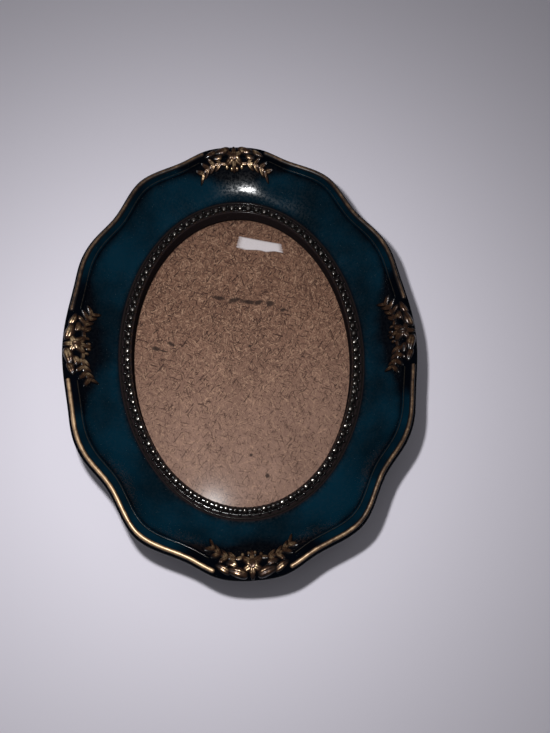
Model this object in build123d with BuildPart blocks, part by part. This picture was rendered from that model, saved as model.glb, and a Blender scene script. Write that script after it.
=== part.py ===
from build123d import *

import os
from math import asin, atan2, cos, degrees, hypot, radians, sin

# Oval picture frame, lying face up on a table.
# The origin is on the table under the middle of the frame, +Z comes out of the glass
# and +Y points at the top of the picture. Every length is in millimetres.

os.makedirs("parts", exist_ok=True)

# Sight opening, the oval that shows the picture
sight_half_width = 45.0
sight_half_height = 64.2

# Scalloped outline. The shares give one quarter of it, from the right side to the top.
outline_half_width = 69.6
outline_half_height = 90.4
outline_shares = [
    (1.000, 0.000),
    (0.986, 0.135),
    (0.950, 0.294),
    (0.926, 0.392),
    (0.856, 0.505),
    (0.735, 0.620),
    (0.640, 0.758),
    (0.586, 0.815),
    (0.516, 0.854),
    (0.321, 0.922),
    (0.190, 0.978),
    (0.000, 1.000),
]

# Depths, counted up from the rear rim
rear_recess_depth = 6.0
velvet_thickness = 0.3
board_thickness = 2.5
picture_gap = 0.3
glass_thickness = 2.0
sight_wall_height = 6.0
rim_rise = 11.4

# Front profile
rim_width = 5.6
cove_power = 1.6
cove_section_shares = [0.0, 0.25, 0.5, 0.75, 1.0]
shoulder_radius = 1.0
shoulder_turns = [0.0, 30.0, 60.0, 90.0]
edge_line_width = 0.7
edge_line_height = 0.5
lip_width = 4.9
lip_line_setback = 0.3
lip_line_width = 0.6
lip_line_height = 0.6

# Rear profile
rebate_width = 5.0
recess_half_width = 60.0
recess_half_height = 84.0
oval_clearance = 0.5

# Gilded rods on the rim
rod_radius = 0.9
rod_inset = 1.9
rod_side_share = 0.12
rod_top_share = 0.885

# Bead rings on the sight edge
pearl_radius = 1.4
pearl_count = 98
pearl_inset = 1.35
pearl_lift = 0.4
seed_radius = 0.72
seed_inset = 3.0
seed_lift = 0.15
bead_band_width = 1.5
seed_band_width = 0.5
bead_band_thickness = 0.4

# Floral sprays. A place on a spray is how far along the rim and how far in from the outline.
spray_gap = 0.25
outline_steps = 60
flower_inset = 5.4
boss_radius = 1.7
petal_count = 6
petal_length = 5.6
petal_radius = 1.25
petal_reach = 2.3
sprig_start = (3.5, 7.4)
sprig_middle = (9.6, 7.2)
sprig_end = (15.4, 8.4)
stem_radius = 0.75
leaflet_length = 4.8
leaflet_radius = 0.95
leaflet_angle = 38.0
leaflet_reach = 1.6
leaflet_pairs = 4
stem_overlap = 1.5
berry_radius = 0.95
berry_places = [(1.3, 9.0), (3.6, 8.4), (6.2, 4.3)]
# Each leaf: its middle along the rim and inwards, its length and radius, its turn in degrees
scroll_leaves = [
    ((5.6, 2.6), 8.4, 2.0, 12.0),
    ((10.8, 3.2), 6.4, 1.5, 16.0),
    ((7.6, 5.2), 5.0, 1.1, 8.0),
]
surface_step = 0.4
spray_clear_half_width = 14.5

# Torn paper scrap left on the board, corner by corner
scrap_thickness = 0.2
scrap_corners = [
    (0.6, 57.2),
    (10.6, 54.9),
    (20.1, 52.4),
    (20.7, 47.6),
    (17.0, 48.6),
    (13.1, 48.2),
    (8.4, 49.4),
    (2.8, 49.9),
    (-1.0, 51.4),
]

# Easel strut and its hinge
hinge_y = 15.0
strut_bottom_y = -82.0
strut_top_width = 26.0
strut_foot_width = 42.0
strut_foot_rise = 7.0
strut_thickness = 2.5
strut_gap = 0.3
strut_end_gap = 2.6
leaf_notch = 2.2
strut_corner = 3.0
leaf_thickness = 0.6
leaf_width = 24.0
leaf_length = 12.0
leaf_corner = 2.0
pin_radius = 1.1
pin_clearance = 0.06
pin_head_radius = 1.5
pin_head_thickness = 0.6
knuckle_gap = 0.15
middle_knuckle_width = 10.0
stop_angle = 35.0
stop_reach = 3.6
stop_clearance = 0.05
tack_head_radius = 1.7
tack_head_thickness = 0.5
tack_shank_radius = 0.7
tack_board_depth = 1.9
tack_spacing = 16.0
tack_reach = 6.5
hole_clearance = 0.05
strut_rivet_depth = 2.0
strut_rivet_reach = 7.5

# Turn buttons that hold the board in
button_pivot_angle = 40.0
button_thickness = 1.0
button_width = 6.0
button_long_arm = 10.5
button_short_arm = 3.0
button_tip_radius = 2.4
button_setback = 5.0
screw_shank_radius = 1.2
screw_clearance = 0.08
screw_length = 8.0
screw_head_radius = 2.6
screw_head_height = 1.5
screw_slot_width = 0.7
screw_slot_depth = 0.6

# Hanger at the top of the board
hanger_y = 54.0
hanger_plate_width = 9.0
hanger_plate_length = 13.0
hanger_plate_thickness = 0.7
hanger_plate_corner = 1.5
ring_wire_radius = 0.8
ring_half_width = 7.0
ring_length = 11.0
ring_tip_half_width = 3.5
ring_corner = 2.2
ring_clearance = 0.1
loop_width = 7.0
hanger_rivet_radius = 2.0
hanger_rivet_height = 0.8
hanger_rivet_reach = 8.0

# Levels worked out from the depths
board_rear = rear_recess_depth + velvet_thickness
board_front = board_rear + board_thickness
glass_rear = board_front + picture_gap
glass_front = glass_rear + glass_thickness
lip_height = glass_front + sight_wall_height
rim_height = lip_height + rim_rise
lip_line_outside = lip_width - lip_line_setback
rebate_half_width = sight_half_width + rebate_width
rebate_half_height = sight_half_height + rebate_width
panel_half_width = rebate_half_width - oval_clearance
panel_half_height = rebate_half_height - oval_clearance


def outline_points(inset):
    """One quarter of the scalloped outline, drawn in by an inset."""
    return [
        (x_share * (outline_half_width - inset), y_share * (outline_half_height - inset))
        for x_share, y_share in outline_shares
    ]


def oval_radius(angle, half_width, half_height):
    """Distance from the middle to an ellipse, at an angle in radians."""
    return half_width * half_height / hypot(half_height * cos(angle), half_width * sin(angle))


def cove_points(share):
    """One quarter of a level line of the cove, from the rim at 0 to the bead lip at 1."""
    points = []
    for x, y in outline_points(rim_width):
        angle = atan2(y, x)
        lip = oval_radius(angle, sight_half_width + lip_width, sight_half_height + lip_width)
        radius = hypot(x, y) + (lip - hypot(x, y)) * share
        points.append((radius * cos(angle), radius * sin(angle)))
    return points


def cove_height(share):
    """Height of the hollow cove above the table at a level line."""
    return lip_height + rim_rise * (1 - share) ** cove_power


def closed_face(points):
    """A face bounded by a quarter curve and its mirror images."""
    with BuildSketch() as face:
        with BuildLine():
            Spline(*points, tangents=[(0, 1), (-1, 0)])
            mirror(about=Plane.YZ)
            mirror(about=Plane.XZ)
        make_face()
    return face.sketch


def polar_samples(inset):
    """Angles and distances from the middle along one quarter of the outline."""
    with BuildLine() as quarter:
        Spline(*outline_points(inset), tangents=[(0, 1), (-1, 0)])
    places = [quarter.edge() @ (step / outline_steps) for step in range(outline_steps + 1)]
    return [(atan2(place.Y, place.X), hypot(place.X, place.Y)) for place in places]


def outline_radius(angle, samples):
    """Distance from the middle to a sampled outline, at an angle in radians."""
    wanted = atan2(abs(sin(angle)), abs(cos(angle)))
    for (first, first_radius), (second, second_radius) in zip(samples, samples[1:]):
        if wanted <= second:
            part = (wanted - first) / (second - first)
            return first_radius + (second_radius - first_radius) * part
    return samples[-1][1]


outline_samples = polar_samples(0)
rim_samples = polar_samples(rim_width)


def front_height(x, y):
    """Height of the front surface over a place on the rim or the cove."""
    angle = atan2(y, x)
    rim = outline_radius(angle, rim_samples)
    lip = oval_radius(angle, sight_half_width + lip_width, sight_half_height + lip_width)
    share = min(max((rim - hypot(x, y)) / (rim - lip), 0), 1)
    return cove_height(share)


def spray_place(middle_angle, along, inwards):
    """The point of the front surface at a place of a spray."""
    angle = middle_angle + along / outline_radius(middle_angle, outline_samples)
    radius = outline_radius(angle, outline_samples) - inwards
    x, y = radius * cos(angle), radius * sin(angle)
    return Vector(x, y, front_height(x, y))


def spray_plane(middle_angle, along, inwards, turn):
    """A plane that lies on the front surface, its X axis turned inwards from the rim."""
    here = spray_place(middle_angle, along, inwards)
    before = spray_place(middle_angle, along - surface_step, inwards)
    after = spray_place(middle_angle, along + surface_step, inwards)
    sideways = (after - before) / 2
    downhill = spray_place(middle_angle, along, inwards + surface_step) - here
    normal = sideways.cross(downhill).normalized()
    heading = sideways * cos(radians(turn)) + downhill * sin(radians(turn))
    return Plane(origin=here + normal * spray_gap, x_dir=heading, z_dir=normal)


def leaf(length, radius):
    """A leaf: half of a pointed body of revolution along X, flat underneath."""
    with BuildPart() as half_leaf:
        with BuildSketch():
            with BuildLine():
                ThreePointArc((-length / 2, 0), (0, radius), (length / 2, 0))
                Line((length / 2, 0), (-length / 2, 0))
            make_face()
        revolve(axis=Axis.X, revolution_arc=180)
    return half_leaf.part


def rod_at(mirror_x, mirror_y):
    """A half-round rod with round ends, on one quarter of the rim."""
    with BuildLine() as run:
        rim = Spline(*outline_points(rod_inset), tangents=[(0, 1), (-1, 0)], mode=Mode.PRIVATE)
        add(rim.trim(rod_side_share, rod_top_share))
    path = run.line.moved(Location((0, 0, rim_height)))
    start, end = path @ 0, path @ 1
    across = Vector(0, 0, 1).cross(path % 0)
    with BuildPart() as rod:
        with BuildSketch(Plane(origin=start, x_dir=across, z_dir=path % 0)):
            with BuildLine():
                CenterArc((0, 0), rod_radius, 0, 180)
                Line((-rod_radius, 0), (rod_radius, 0))
            make_face()
        sweep(path=path)
        with Locations(start, end):
            Sphere(rod_radius)
        split(bisect_by=Plane.XY.offset(rim_height), keep=Keep.TOP)
    quarter = rod.part
    if mirror_x:
        quarter = quarter.mirror(Plane.YZ)
    if mirror_y:
        quarter = quarter.mirror(Plane.XZ)
    return quarter


def oval_places(count, half_width, half_height, first):
    """Places spaced evenly along an ellipse, the first one a share of a step from +X."""
    with BuildSketch() as oval:
        Ellipse(half_width, half_height)
    edge = oval.edge()
    return [edge @ ((number + first) / count) for number in range(count)]


def bead(radius, lift, band_top):
    """A bead cut off flat where it stands in its band."""
    with BuildPart() as ball:
        with Locations((0, 0, band_top + lift)):
            Sphere(radius)
        split(bisect_by=Plane.XY.offset(band_top - bead_band_thickness / 2), keep=Keep.TOP)
    return ball.part


def bead_ring(inset, band_width, radius, lift, first):
    """A row of beads on one oval band."""
    half_width = sight_half_width + inset
    half_height = sight_half_height + inset
    band_top = lip_height + bead_band_thickness
    one_bead = bead(radius, lift, band_top)
    with BuildPart() as ring:
        with BuildSketch(Plane.XY.offset(lip_height)):
            Ellipse(half_width + band_width / 2, half_height + band_width / 2)
            Ellipse(
                half_width - band_width / 2, half_height - band_width / 2, mode=Mode.SUBTRACT
            )
        extrude(amount=bead_band_thickness)
        with Locations(*oval_places(pearl_count, half_width, half_height, first)):
            add(one_bead)
    return ring.part


def sprig_place(part_way):
    """A place on the sprig's stem, a parabola through its start, middle and end."""
    before = (1 - part_way) * (1 - 2 * part_way)
    halfway = 4 * part_way * (1 - part_way)
    after = part_way * (2 * part_way - 1)
    return tuple(
        before * a + halfway * b + after * c
        for a, b, c in zip(sprig_start, sprig_middle, sprig_end)
    )


def sprig_leaves():
    """Stem pieces, a pair of leaflets at each joint and three at the tip, for one side."""
    leaves = []
    for number in range(leaflet_pairs):
        along, inwards = sprig_place(number / leaflet_pairs)
        next_along, next_inwards = sprig_place((number + 1) / leaflet_pairs)
        heading = degrees(atan2(next_inwards - inwards, next_along - along))
        middle = ((along + next_along) / 2, (inwards + next_inwards) / 2)
        stem_length = stem_overlap * hypot(next_inwards - inwards, next_along - along)
        leaves.append((middle, stem_length, stem_radius, heading))
        for turn in (-leaflet_angle, leaflet_angle):
            reach_along = next_along + leaflet_reach * cos(radians(heading + turn))
            reach_inwards = next_inwards + leaflet_reach * sin(radians(heading + turn))
            place = (reach_along, reach_inwards)
            leaves.append((place, leaflet_length, leaflet_radius, heading + turn))
    return leaves


def flower_leaves():
    """The petals of the flower, seen as leaves that point away from its middle."""
    leaves = []
    for number in range(petal_count):
        turn = 360 * (number + 0.5) / petal_count
        along = petal_reach * cos(radians(turn))
        inwards = flower_inset + petal_reach * sin(radians(turn))
        leaves.append(((along, inwards), petal_length, petal_radius, turn))
    return leaves


def spray(middle_angle):
    """A flower between two pairs of scroll leaves and two leafy sprigs."""
    leaves = flower_leaves()
    for (along, inwards), length, radius, turn in [*scroll_leaves, *sprig_leaves()]:
        leaves.append(((along, inwards), length, radius, turn))
        leaves.append(((-along, inwards), length, radius, 180 - turn))
    berries = [(side * along, inwards) for along, inwards in berry_places for side in (-1, 1)]
    with BuildPart() as flower:
        with Locations(spray_plane(middle_angle, 0, flower_inset, 0).location):
            Sphere(boss_radius, arc_size1=0, align=(Align.CENTER, Align.CENTER, Align.MIN))
        for (along, inwards), length, radius, turn in leaves:
            with Locations(spray_plane(middle_angle, along, inwards, turn).location):
                add(leaf(length, radius))
        for along, inwards in berries:
            with Locations(spray_plane(middle_angle, along, inwards, 0).location):
                Sphere(berry_radius, arc_size1=0, align=(Align.CENTER, Align.CENTER, Align.MIN))
    return flower.part


def save(solid, name):
    """Label a finished piece and write it under its own name."""
    solid.label = name
    export_step(solid, f"parts/{name}.step")


# Places worked out for the rear parts
strut_front = rear_recess_depth - strut_gap
strut_rear = strut_front - strut_thickness
strut_velvet_rear = strut_rear - velvet_thickness
strut_leaf_rear = strut_velvet_rear - leaf_thickness
knuckle_radius = (rear_recess_depth - strut_leaf_rear) / 2
hinge_z = rear_recess_depth - knuckle_radius
button_pivots = []
for quarter_turn in (button_pivot_angle, 180 - button_pivot_angle):
    for side in (1, -1):
        angle = radians(side * quarter_turn)
        pivot_x = (rebate_half_width + button_setback) * cos(angle)
        pivot_y = (rebate_half_height + button_setback) * sin(angle)
        button_pivots.append((pivot_x, pivot_y))
tack_places = [(side * tack_spacing / 2, hinge_y + tack_reach) for side in (-1, 1)]
strut_rivet_places = [(side * tack_spacing / 2, hinge_y - strut_rivet_reach) for side in (-1, 1)]
hanger_rivet_place = (0, hanger_y - hanger_rivet_reach)

# Frame body: one casting with a scooped front, a rebate for the glass and a rear recess
with BuildPart() as frame_body:
    with BuildSketch():
        add(closed_face(outline_points(0)))
    extrude(amount=rim_height - shoulder_radius)
    for turn in shoulder_turns:
        inset = shoulder_radius * (1 - cos(radians(turn)))
        height = rim_height - shoulder_radius * (1 - sin(radians(turn)))
        with BuildSketch(Plane.XY.offset(height)):
            add(closed_face(outline_points(inset)))
    loft()
    for share in cove_section_shares:
        with BuildSketch(Plane.XY.offset(cove_height(share))):
            add(closed_face(cove_points(share)))
    loft(mode=Mode.SUBTRACT)

    # Thin raised line round the top of the cove, left out under the sprays
    with BuildSketch(Plane.XY.offset(rim_height)):
        add(closed_face(outline_points(rim_width - edge_line_width)))
        add(closed_face(outline_points(rim_width)), mode=Mode.SUBTRACT)
        Rectangle(2 * spray_clear_half_width, 2 * outline_half_height, mode=Mode.SUBTRACT)
        Rectangle(2 * outline_half_width, 2 * spray_clear_half_width, mode=Mode.SUBTRACT)
    extrude(amount=edge_line_height)

    # Thin raised line between the cove and the beads
    with BuildSketch(Plane.XY.offset(lip_height)):
        Ellipse(sight_half_width + lip_line_outside, sight_half_height + lip_line_outside)
        Ellipse(
            sight_half_width + lip_line_outside - lip_line_width,
            sight_half_height + lip_line_outside - lip_line_width,
            mode=Mode.SUBTRACT,
        )
    extrude(amount=lip_line_height)

    # Sight opening, glass rebate and rear recess
    with BuildSketch():
        Ellipse(sight_half_width, sight_half_height)
    extrude(amount=rim_height, mode=Mode.SUBTRACT)
    with BuildSketch():
        Ellipse(rebate_half_width, rebate_half_height)
    extrude(amount=glass_front, mode=Mode.SUBTRACT)
    with BuildSketch():
        Ellipse(recess_half_width, recess_half_height)
    extrude(amount=rear_recess_depth, mode=Mode.SUBTRACT)

    # Holes for the turn button screws
    with Locations(*[(x, y, rear_recess_depth) for x, y in button_pivots]):
        Cylinder(
            screw_shank_radius + hole_clearance,
            screw_length,
            align=(Align.CENTER, Align.CENTER, Align.MIN),
            mode=Mode.SUBTRACT,
        )
save(frame_body.part, "frame_body")

# Gilded rods, one on each quarter of the rim
rod_names = {
    "rim_rod_top_right": (False, False),
    "rim_rod_top_left": (True, False),
    "rim_rod_bottom_right": (False, True),
    "rim_rod_bottom_left": (True, True),
}
for name, (mirror_x, mirror_y) in rod_names.items():
    save(rod_at(mirror_x, mirror_y), name)

# Bead rings on the sight edge, the small row half a step on from the large one
save(bead_ring(pearl_inset, bead_band_width, pearl_radius, pearl_lift, 0), "pearl_bead_ring")
save(bead_ring(seed_inset, seed_band_width, seed_radius, seed_lift, 0.5), "seed_bead_ring")

# Floral sprays in the middle of each side
spray_names = {"right": 0, "top": 90, "left": 180, "bottom": 270}
for side_name, side_angle in spray_names.items():
    save(spray(radians(side_angle)), f"floral_spray_{side_name}")

# Glass, board and the velvet on the board's back
with BuildPart() as glass_pane:
    with BuildSketch(Plane.XY.offset(glass_rear)):
        Ellipse(panel_half_width, panel_half_height)
    extrude(amount=glass_thickness)
save(glass_pane.part, "glass_pane")

with BuildPart() as paper_scrap:
    with BuildSketch(Plane.XY.offset(board_front)):
        with BuildLine():
            Polyline(*scrap_corners, close=True)
        make_face()
    extrude(amount=scrap_thickness)
save(paper_scrap.part, "paper_scrap")

tack_top = board_rear + tack_board_depth
with BuildPart() as backing_board:
    with BuildSketch(Plane.XY.offset(board_rear)):
        Ellipse(panel_half_width, panel_half_height)
    extrude(amount=board_thickness)
    with Locations(*[(x, y, board_rear) for x, y in [*tack_places, hanger_rivet_place]]):
        Cylinder(
            tack_shank_radius + hole_clearance,
            tack_board_depth,
            align=(Align.CENTER, Align.CENTER, Align.MIN),
            mode=Mode.SUBTRACT,
        )
save(backing_board.part, "backing_board")

with BuildPart() as board_velvet:
    with BuildSketch(Plane.XY.offset(rear_recess_depth)):
        Ellipse(panel_half_width, panel_half_height)
    extrude(amount=velvet_thickness)
    with Locations(*[(x, y, board_rear) for x, y in [*tack_places, hanger_rivet_place]]):
        Hole(tack_shank_radius + hole_clearance)
save(board_velvet.part, "board_velvet")


def strut_face():
    """Outline of the easel strut, wider at its foot, with a bowed lower end."""
    top_y = hinge_y - strut_end_gap
    foot_y = strut_bottom_y + strut_foot_rise
    foot_right = (strut_foot_width / 2, foot_y)
    foot_left = (-strut_foot_width / 2, foot_y)
    with BuildSketch() as face:
        with BuildLine():
            Polyline(
                foot_left, (-strut_top_width / 2, top_y), (strut_top_width / 2, top_y), foot_right
            )
            ThreePointArc(foot_right, (0, strut_bottom_y), foot_left)
        make_face()
        fillet(face.vertices().group_by(Axis.Y)[-1], radius=strut_corner)
    return face.sketch


# Easel strut with its velvet
with BuildPart() as easel_strut:
    with BuildSketch(Plane.XY.offset(strut_rear)):
        add(strut_face())
    extrude(amount=strut_thickness)
    with Locations(*[(x, y, strut_rear) for x, y in strut_rivet_places]):
        Cylinder(
            tack_shank_radius + hole_clearance,
            strut_rivet_depth,
            align=(Align.CENTER, Align.CENTER, Align.MIN),
            mode=Mode.SUBTRACT,
        )
save(easel_strut.part, "easel_strut")

with BuildPart() as strut_velvet:
    with BuildSketch(Plane.XY.offset(strut_velvet_rear)):
        add(strut_face())
    extrude(amount=velvet_thickness)
    with Locations(*[(x, y, strut_rear) for x, y in strut_rivet_places]):
        Hole(tack_shank_radius + hole_clearance)
save(strut_velvet.part, "strut_velvet")


def rivet(place, head_bottom, head_height, head_radius, top):
    """A tack or rivet seen from behind: a round head with a shank that goes up."""
    with BuildPart(Plane((*place, head_bottom))) as fastener:
        Cylinder(head_radius, head_height, align=(Align.CENTER, Align.CENTER, Align.MIN))
        chamfer(fastener.edges().sort_by(Axis.Z)[0], length=head_height / 2)
        Cylinder(tack_shank_radius, top - head_bottom, align=(Align.CENTER, Align.CENTER, Align.MIN))
    return fastener.part


# Hinge: two leaves with rolled knuckles on one pin. Profiles are drawn looking along X.
outer_knuckle_width = (leaf_width - middle_knuckle_width) / 2 - knuckle_gap
outer_knuckle_start = middle_knuckle_width / 2 + knuckle_gap
hinge_profile = Plane(origin=(0, hinge_y, hinge_z), x_dir=(0, 1, 0), z_dir=(1, 0, 0))
notch_width = middle_knuckle_width + 2 * knuckle_gap

with BuildPart() as hinge_board_leaf:
    with BuildSketch(Plane.XY.offset(rear_recess_depth - leaf_thickness)) as leaf_plan:
        with Locations((0, hinge_y + leaf_length / 2)):
            Rectangle(leaf_width, leaf_length)
        fillet(leaf_plan.vertices().group_by(Axis.Y)[-1], radius=leaf_corner)
        with Locations((0, hinge_y)):
            Rectangle(notch_width, 2 * leaf_notch, mode=Mode.SUBTRACT)
    extrude(amount=leaf_thickness)
    for start in (outer_knuckle_start, -outer_knuckle_start - outer_knuckle_width):
        with BuildSketch(hinge_profile.offset(start)):
            Circle(knuckle_radius)
        extrude(amount=outer_knuckle_width)
    with BuildSketch(hinge_profile.offset(-leaf_width / 2)):
        Circle(pin_radius + pin_clearance)
    extrude(amount=leaf_width, mode=Mode.SUBTRACT)
    with Locations(*[(x, y, rear_recess_depth) for x, y in tack_places]):
        Hole(tack_shank_radius + hole_clearance)
save(hinge_board_leaf.part, "hinge_board_leaf")

# The stop lug lifts with the strut until it meets the board leaf's underside
leaf_underside = knuckle_radius - leaf_thickness - stop_clearance
lug_open_angle = degrees(
    asin(leaf_underside / hypot(stop_reach, leaf_thickness / 2))
    - atan2(leaf_thickness / 2, stop_reach)
)
with BuildPart() as hinge_strut_leaf:
    with BuildSketch(Plane.XY.offset(strut_leaf_rear)) as leaf_plan:
        with Locations((0, hinge_y - (leaf_length + leaf_notch) / 2)):
            Rectangle(leaf_width, leaf_length - leaf_notch)
        fillet(leaf_plan.vertices().group_by(Axis.Y)[0], radius=leaf_corner)
        with Locations((0, hinge_y - leaf_length / 4)):
            Rectangle(middle_knuckle_width, leaf_length / 2)
    extrude(amount=leaf_thickness)
    with BuildSketch(hinge_profile.offset(-middle_knuckle_width / 2)):
        Circle(knuckle_radius)
        with Locations(Location((0, 0), lug_open_angle - stop_angle)):
            Rectangle(stop_reach, leaf_thickness, align=(Align.MIN, Align.CENTER))
        Circle(pin_radius + pin_clearance, mode=Mode.SUBTRACT)
    extrude(amount=middle_knuckle_width)
    with Locations(*[(x, y, strut_velvet_rear) for x, y in strut_rivet_places]):
        Hole(tack_shank_radius + hole_clearance)
save(hinge_strut_leaf.part, "hinge_strut_leaf")

with BuildPart() as hinge_pin:
    with BuildSketch(hinge_profile.offset(-leaf_width / 2)):
        Circle(pin_radius)
    extrude(amount=leaf_width)
    for start in (leaf_width / 2, -leaf_width / 2 - pin_head_thickness):
        with BuildSketch(hinge_profile.offset(start)):
            Circle(pin_head_radius)
        extrude(amount=pin_head_thickness)
save(hinge_pin.part, "hinge_pin")

tack_head_bottom = rear_recess_depth - leaf_thickness - tack_head_thickness
board_tacks = [
    rivet(place, tack_head_bottom, tack_head_thickness, tack_head_radius, tack_top)
    for place in tack_places
]
save(Compound(children=board_tacks), "board_leaf_tacks")
strut_rivets = [
    rivet(
        place,
        strut_leaf_rear - tack_head_thickness,
        tack_head_thickness,
        tack_head_radius,
        strut_rear + strut_rivet_depth,
    )
    for place in strut_rivet_places
]
save(Compound(children=strut_rivets), "strut_leaf_rivets")

# Turn buttons that hold the board in, each on its own screw
button_rear = rear_recess_depth - button_thickness
button_names = ["upper_right", "lower_right", "upper_left", "lower_left"]
screws = []
for side_name, (pivot_x, pivot_y) in zip(button_names, button_pivots):
    heading = atan2(-pivot_y / rebate_half_height**2, -pivot_x / rebate_half_width**2)
    button_plane = Plane((pivot_x, pivot_y, button_rear)).rotated((0, 0, degrees(heading)))
    with BuildPart() as button:
        with BuildSketch(button_plane):
            Circle(button_width / 2)
            with Locations((button_long_arm, 0), (-button_short_arm, 0)):
                Circle(button_tip_radius)
            make_hull()
            Circle(screw_shank_radius + screw_clearance, mode=Mode.SUBTRACT)
        extrude(amount=button_thickness)
        chamfer(button.faces().sort_by(Axis.Z)[0].outer_wire().edges(), length=button_thickness / 4)
    save(button.part, f"turn_button_{side_name}")

    with BuildPart(Plane((pivot_x, pivot_y, button_rear))) as screw:
        Cylinder(
            screw_head_radius,
            screw_head_height,
            align=(Align.CENTER, Align.CENTER, Align.MAX),
        )
        chamfer(screw.edges().sort_by(Axis.Z)[0], length=screw_head_height / 3)
        Cylinder(
            screw_shank_radius,
            screw_length,
            align=(Align.CENTER, Align.CENTER, Align.MIN),
        )
        with Locations((0, 0, -screw_head_height)):
            Box(
                2 * screw_head_radius,
                screw_slot_width,
                screw_slot_depth,
                align=(Align.CENTER, Align.CENTER, Align.MIN),
                mode=Mode.SUBTRACT,
            )
    screws.append(screw.part)
save(Compound(children=screws), "turn_button_screws")

# Hanger: a plate rolled round the straight side of a ring
loop_radius = ring_wire_radius + ring_clearance + hanger_plate_thickness
ring_z = rear_recess_depth - loop_radius
loop_profile = Plane(origin=(0, hanger_y, ring_z), x_dir=(0, 1, 0), z_dir=(1, 0, 0))
with BuildPart() as hanger_plate:
    with BuildSketch(Plane.XY.offset(rear_recess_depth - hanger_plate_thickness)) as plate_plan:
        with Locations((0, hanger_y - loop_radius - hanger_plate_length / 2)):
            Rectangle(hanger_plate_width, hanger_plate_length)
        fillet(plate_plan.vertices(), radius=hanger_plate_corner)
        with Locations((0, hanger_y - hanger_plate_length / 4)):
            Rectangle(loop_width, hanger_plate_length / 2)
    extrude(amount=hanger_plate_thickness)
    with BuildSketch(loop_profile.offset(-loop_width / 2)):
        Circle(loop_radius)
    extrude(amount=loop_width)
    with BuildSketch(loop_profile.offset(-loop_width / 2)):
        Circle(ring_wire_radius + ring_clearance)
    extrude(amount=loop_width, mode=Mode.SUBTRACT)
    with Locations((*hanger_rivet_place, rear_recess_depth)):
        Hole(tack_shank_radius + hole_clearance)
save(hanger_plate.part, "hanger_plate")

with BuildPart() as hanger_ring:
    with BuildLine(Plane.XY.offset(ring_z)) as wire:
        FilletPolyline(
            (ring_half_width, hanger_y),
            (ring_tip_half_width, hanger_y + ring_length),
            (-ring_tip_half_width, hanger_y + ring_length),
            (-ring_half_width, hanger_y),
            radius=ring_corner,
            close=True,
        )
    with BuildSketch(Plane(origin=wire.wire() @ 0, z_dir=wire.wire() % 0)):
        Circle(ring_wire_radius)
    sweep()
save(hanger_ring.part, "hanger_ring")

hanger_rivet_bottom = rear_recess_depth - hanger_plate_thickness - hanger_rivet_height
hanger_rivet = rivet(
    hanger_rivet_place, hanger_rivet_bottom, hanger_rivet_height, hanger_rivet_radius, tack_top
)
save(hanger_rivet, "hanger_rivet")
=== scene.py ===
"""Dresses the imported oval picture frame: smooth cast forms, worn gilding, board and studio.

Lengths in the classes are in millimetres, as in the part's source. Pieces are made in metres.
"""

import logging
import math
from dataclasses import dataclass, field
from enum import Enum
from functools import cache

import bpy
import numpy as np
from mathutils import Matrix, Vector


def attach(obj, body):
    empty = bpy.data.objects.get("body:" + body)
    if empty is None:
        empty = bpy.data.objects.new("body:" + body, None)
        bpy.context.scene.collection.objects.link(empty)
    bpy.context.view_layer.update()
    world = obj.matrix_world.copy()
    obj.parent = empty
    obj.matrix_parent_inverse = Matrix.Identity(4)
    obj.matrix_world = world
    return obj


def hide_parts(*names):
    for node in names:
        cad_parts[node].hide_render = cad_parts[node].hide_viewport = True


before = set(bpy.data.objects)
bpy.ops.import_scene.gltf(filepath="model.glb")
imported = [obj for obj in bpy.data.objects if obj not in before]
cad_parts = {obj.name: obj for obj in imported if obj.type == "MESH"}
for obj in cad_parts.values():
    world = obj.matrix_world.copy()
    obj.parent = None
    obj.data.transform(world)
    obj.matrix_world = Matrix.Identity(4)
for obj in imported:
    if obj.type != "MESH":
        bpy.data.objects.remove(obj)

logging.basicConfig(level=logging.INFO, format="%(message)s")
log = logging.getLogger("oval_frame")

MM = 0.001
TINY = 1e-6
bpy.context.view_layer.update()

Pair = tuple[float, float]
Place = tuple[float, float, float]
Rgb = tuple[int, int, int]
Socket = bpy.types.NodeSocket
Value = Socket | float | tuple[float, ...]


class Slot(Enum):
    """Material slots of the record."""

    LACQUER = "teal_lacquer"
    GILDING = "worn_gilding"
    BEADS = "dark_bronze"
    SPRAYS = "rubbed_bronze"
    GLASS = "glass"
    PAPER = "paper"
    BOARD = "fibreboard"
    VELVET = "velvet"
    FITTINGS = "brassed_steel"


def grid_quads(
    rows: int, columns: int, wrap_rows: bool = False, wrap_columns: bool = False
) -> np.ndarray:
    """Corner numbers of the four-sided faces of a grid of points.

    Args:
        rows: Points along the first direction.
        columns: Points along the second direction.
        wrap_rows: Whether the last row joins the first.
        wrap_columns: Whether the last column joins the first.

    Returns:
        An array of faces by four corners, turning from the columns to the rows.
    """
    row = np.arange(rows if wrap_rows else rows - 1)[:, None]
    column = np.arange(columns if wrap_columns else columns - 1)[None, :]
    next_row = (row + 1) % rows
    next_column = (column + 1) % columns
    corners = ((row, column), (row, next_column), (next_row, next_column), (next_row, column))
    return np.stack([r * columns + c for r, c in corners], axis=-1).reshape(-1, 4)


def square_disc(rows: int) -> tuple[np.ndarray, np.ndarray, np.ndarray]:
    """A square grid laid over a disc of radius 1, so that it has no pole.

    A square (u, v) becomes a disc with x = u sqrt(1 - v^2 / 2) and y = v sqrt(1 - u^2 / 2).

    Args:
        rows: Points along each side of the square.

    Returns:
        Both coordinates and the distance from the middle, each rows by rows.
    """
    line = np.linspace(-1, 1, rows)
    u, v = np.meshgrid(line, line)
    x, y = u * np.sqrt(1 - v**2 / 2), v * np.sqrt(1 - u**2 / 2)
    return x, y, np.hypot(x, y)


def corner_turns(step: int) -> list[Pair]:
    """Sine and cosine of the angles from 0 to 90 degrees, some degrees apart."""
    return [(math.sin(turn), math.cos(turn)) for turn in map(math.radians, range(0, 91, step))]


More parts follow.
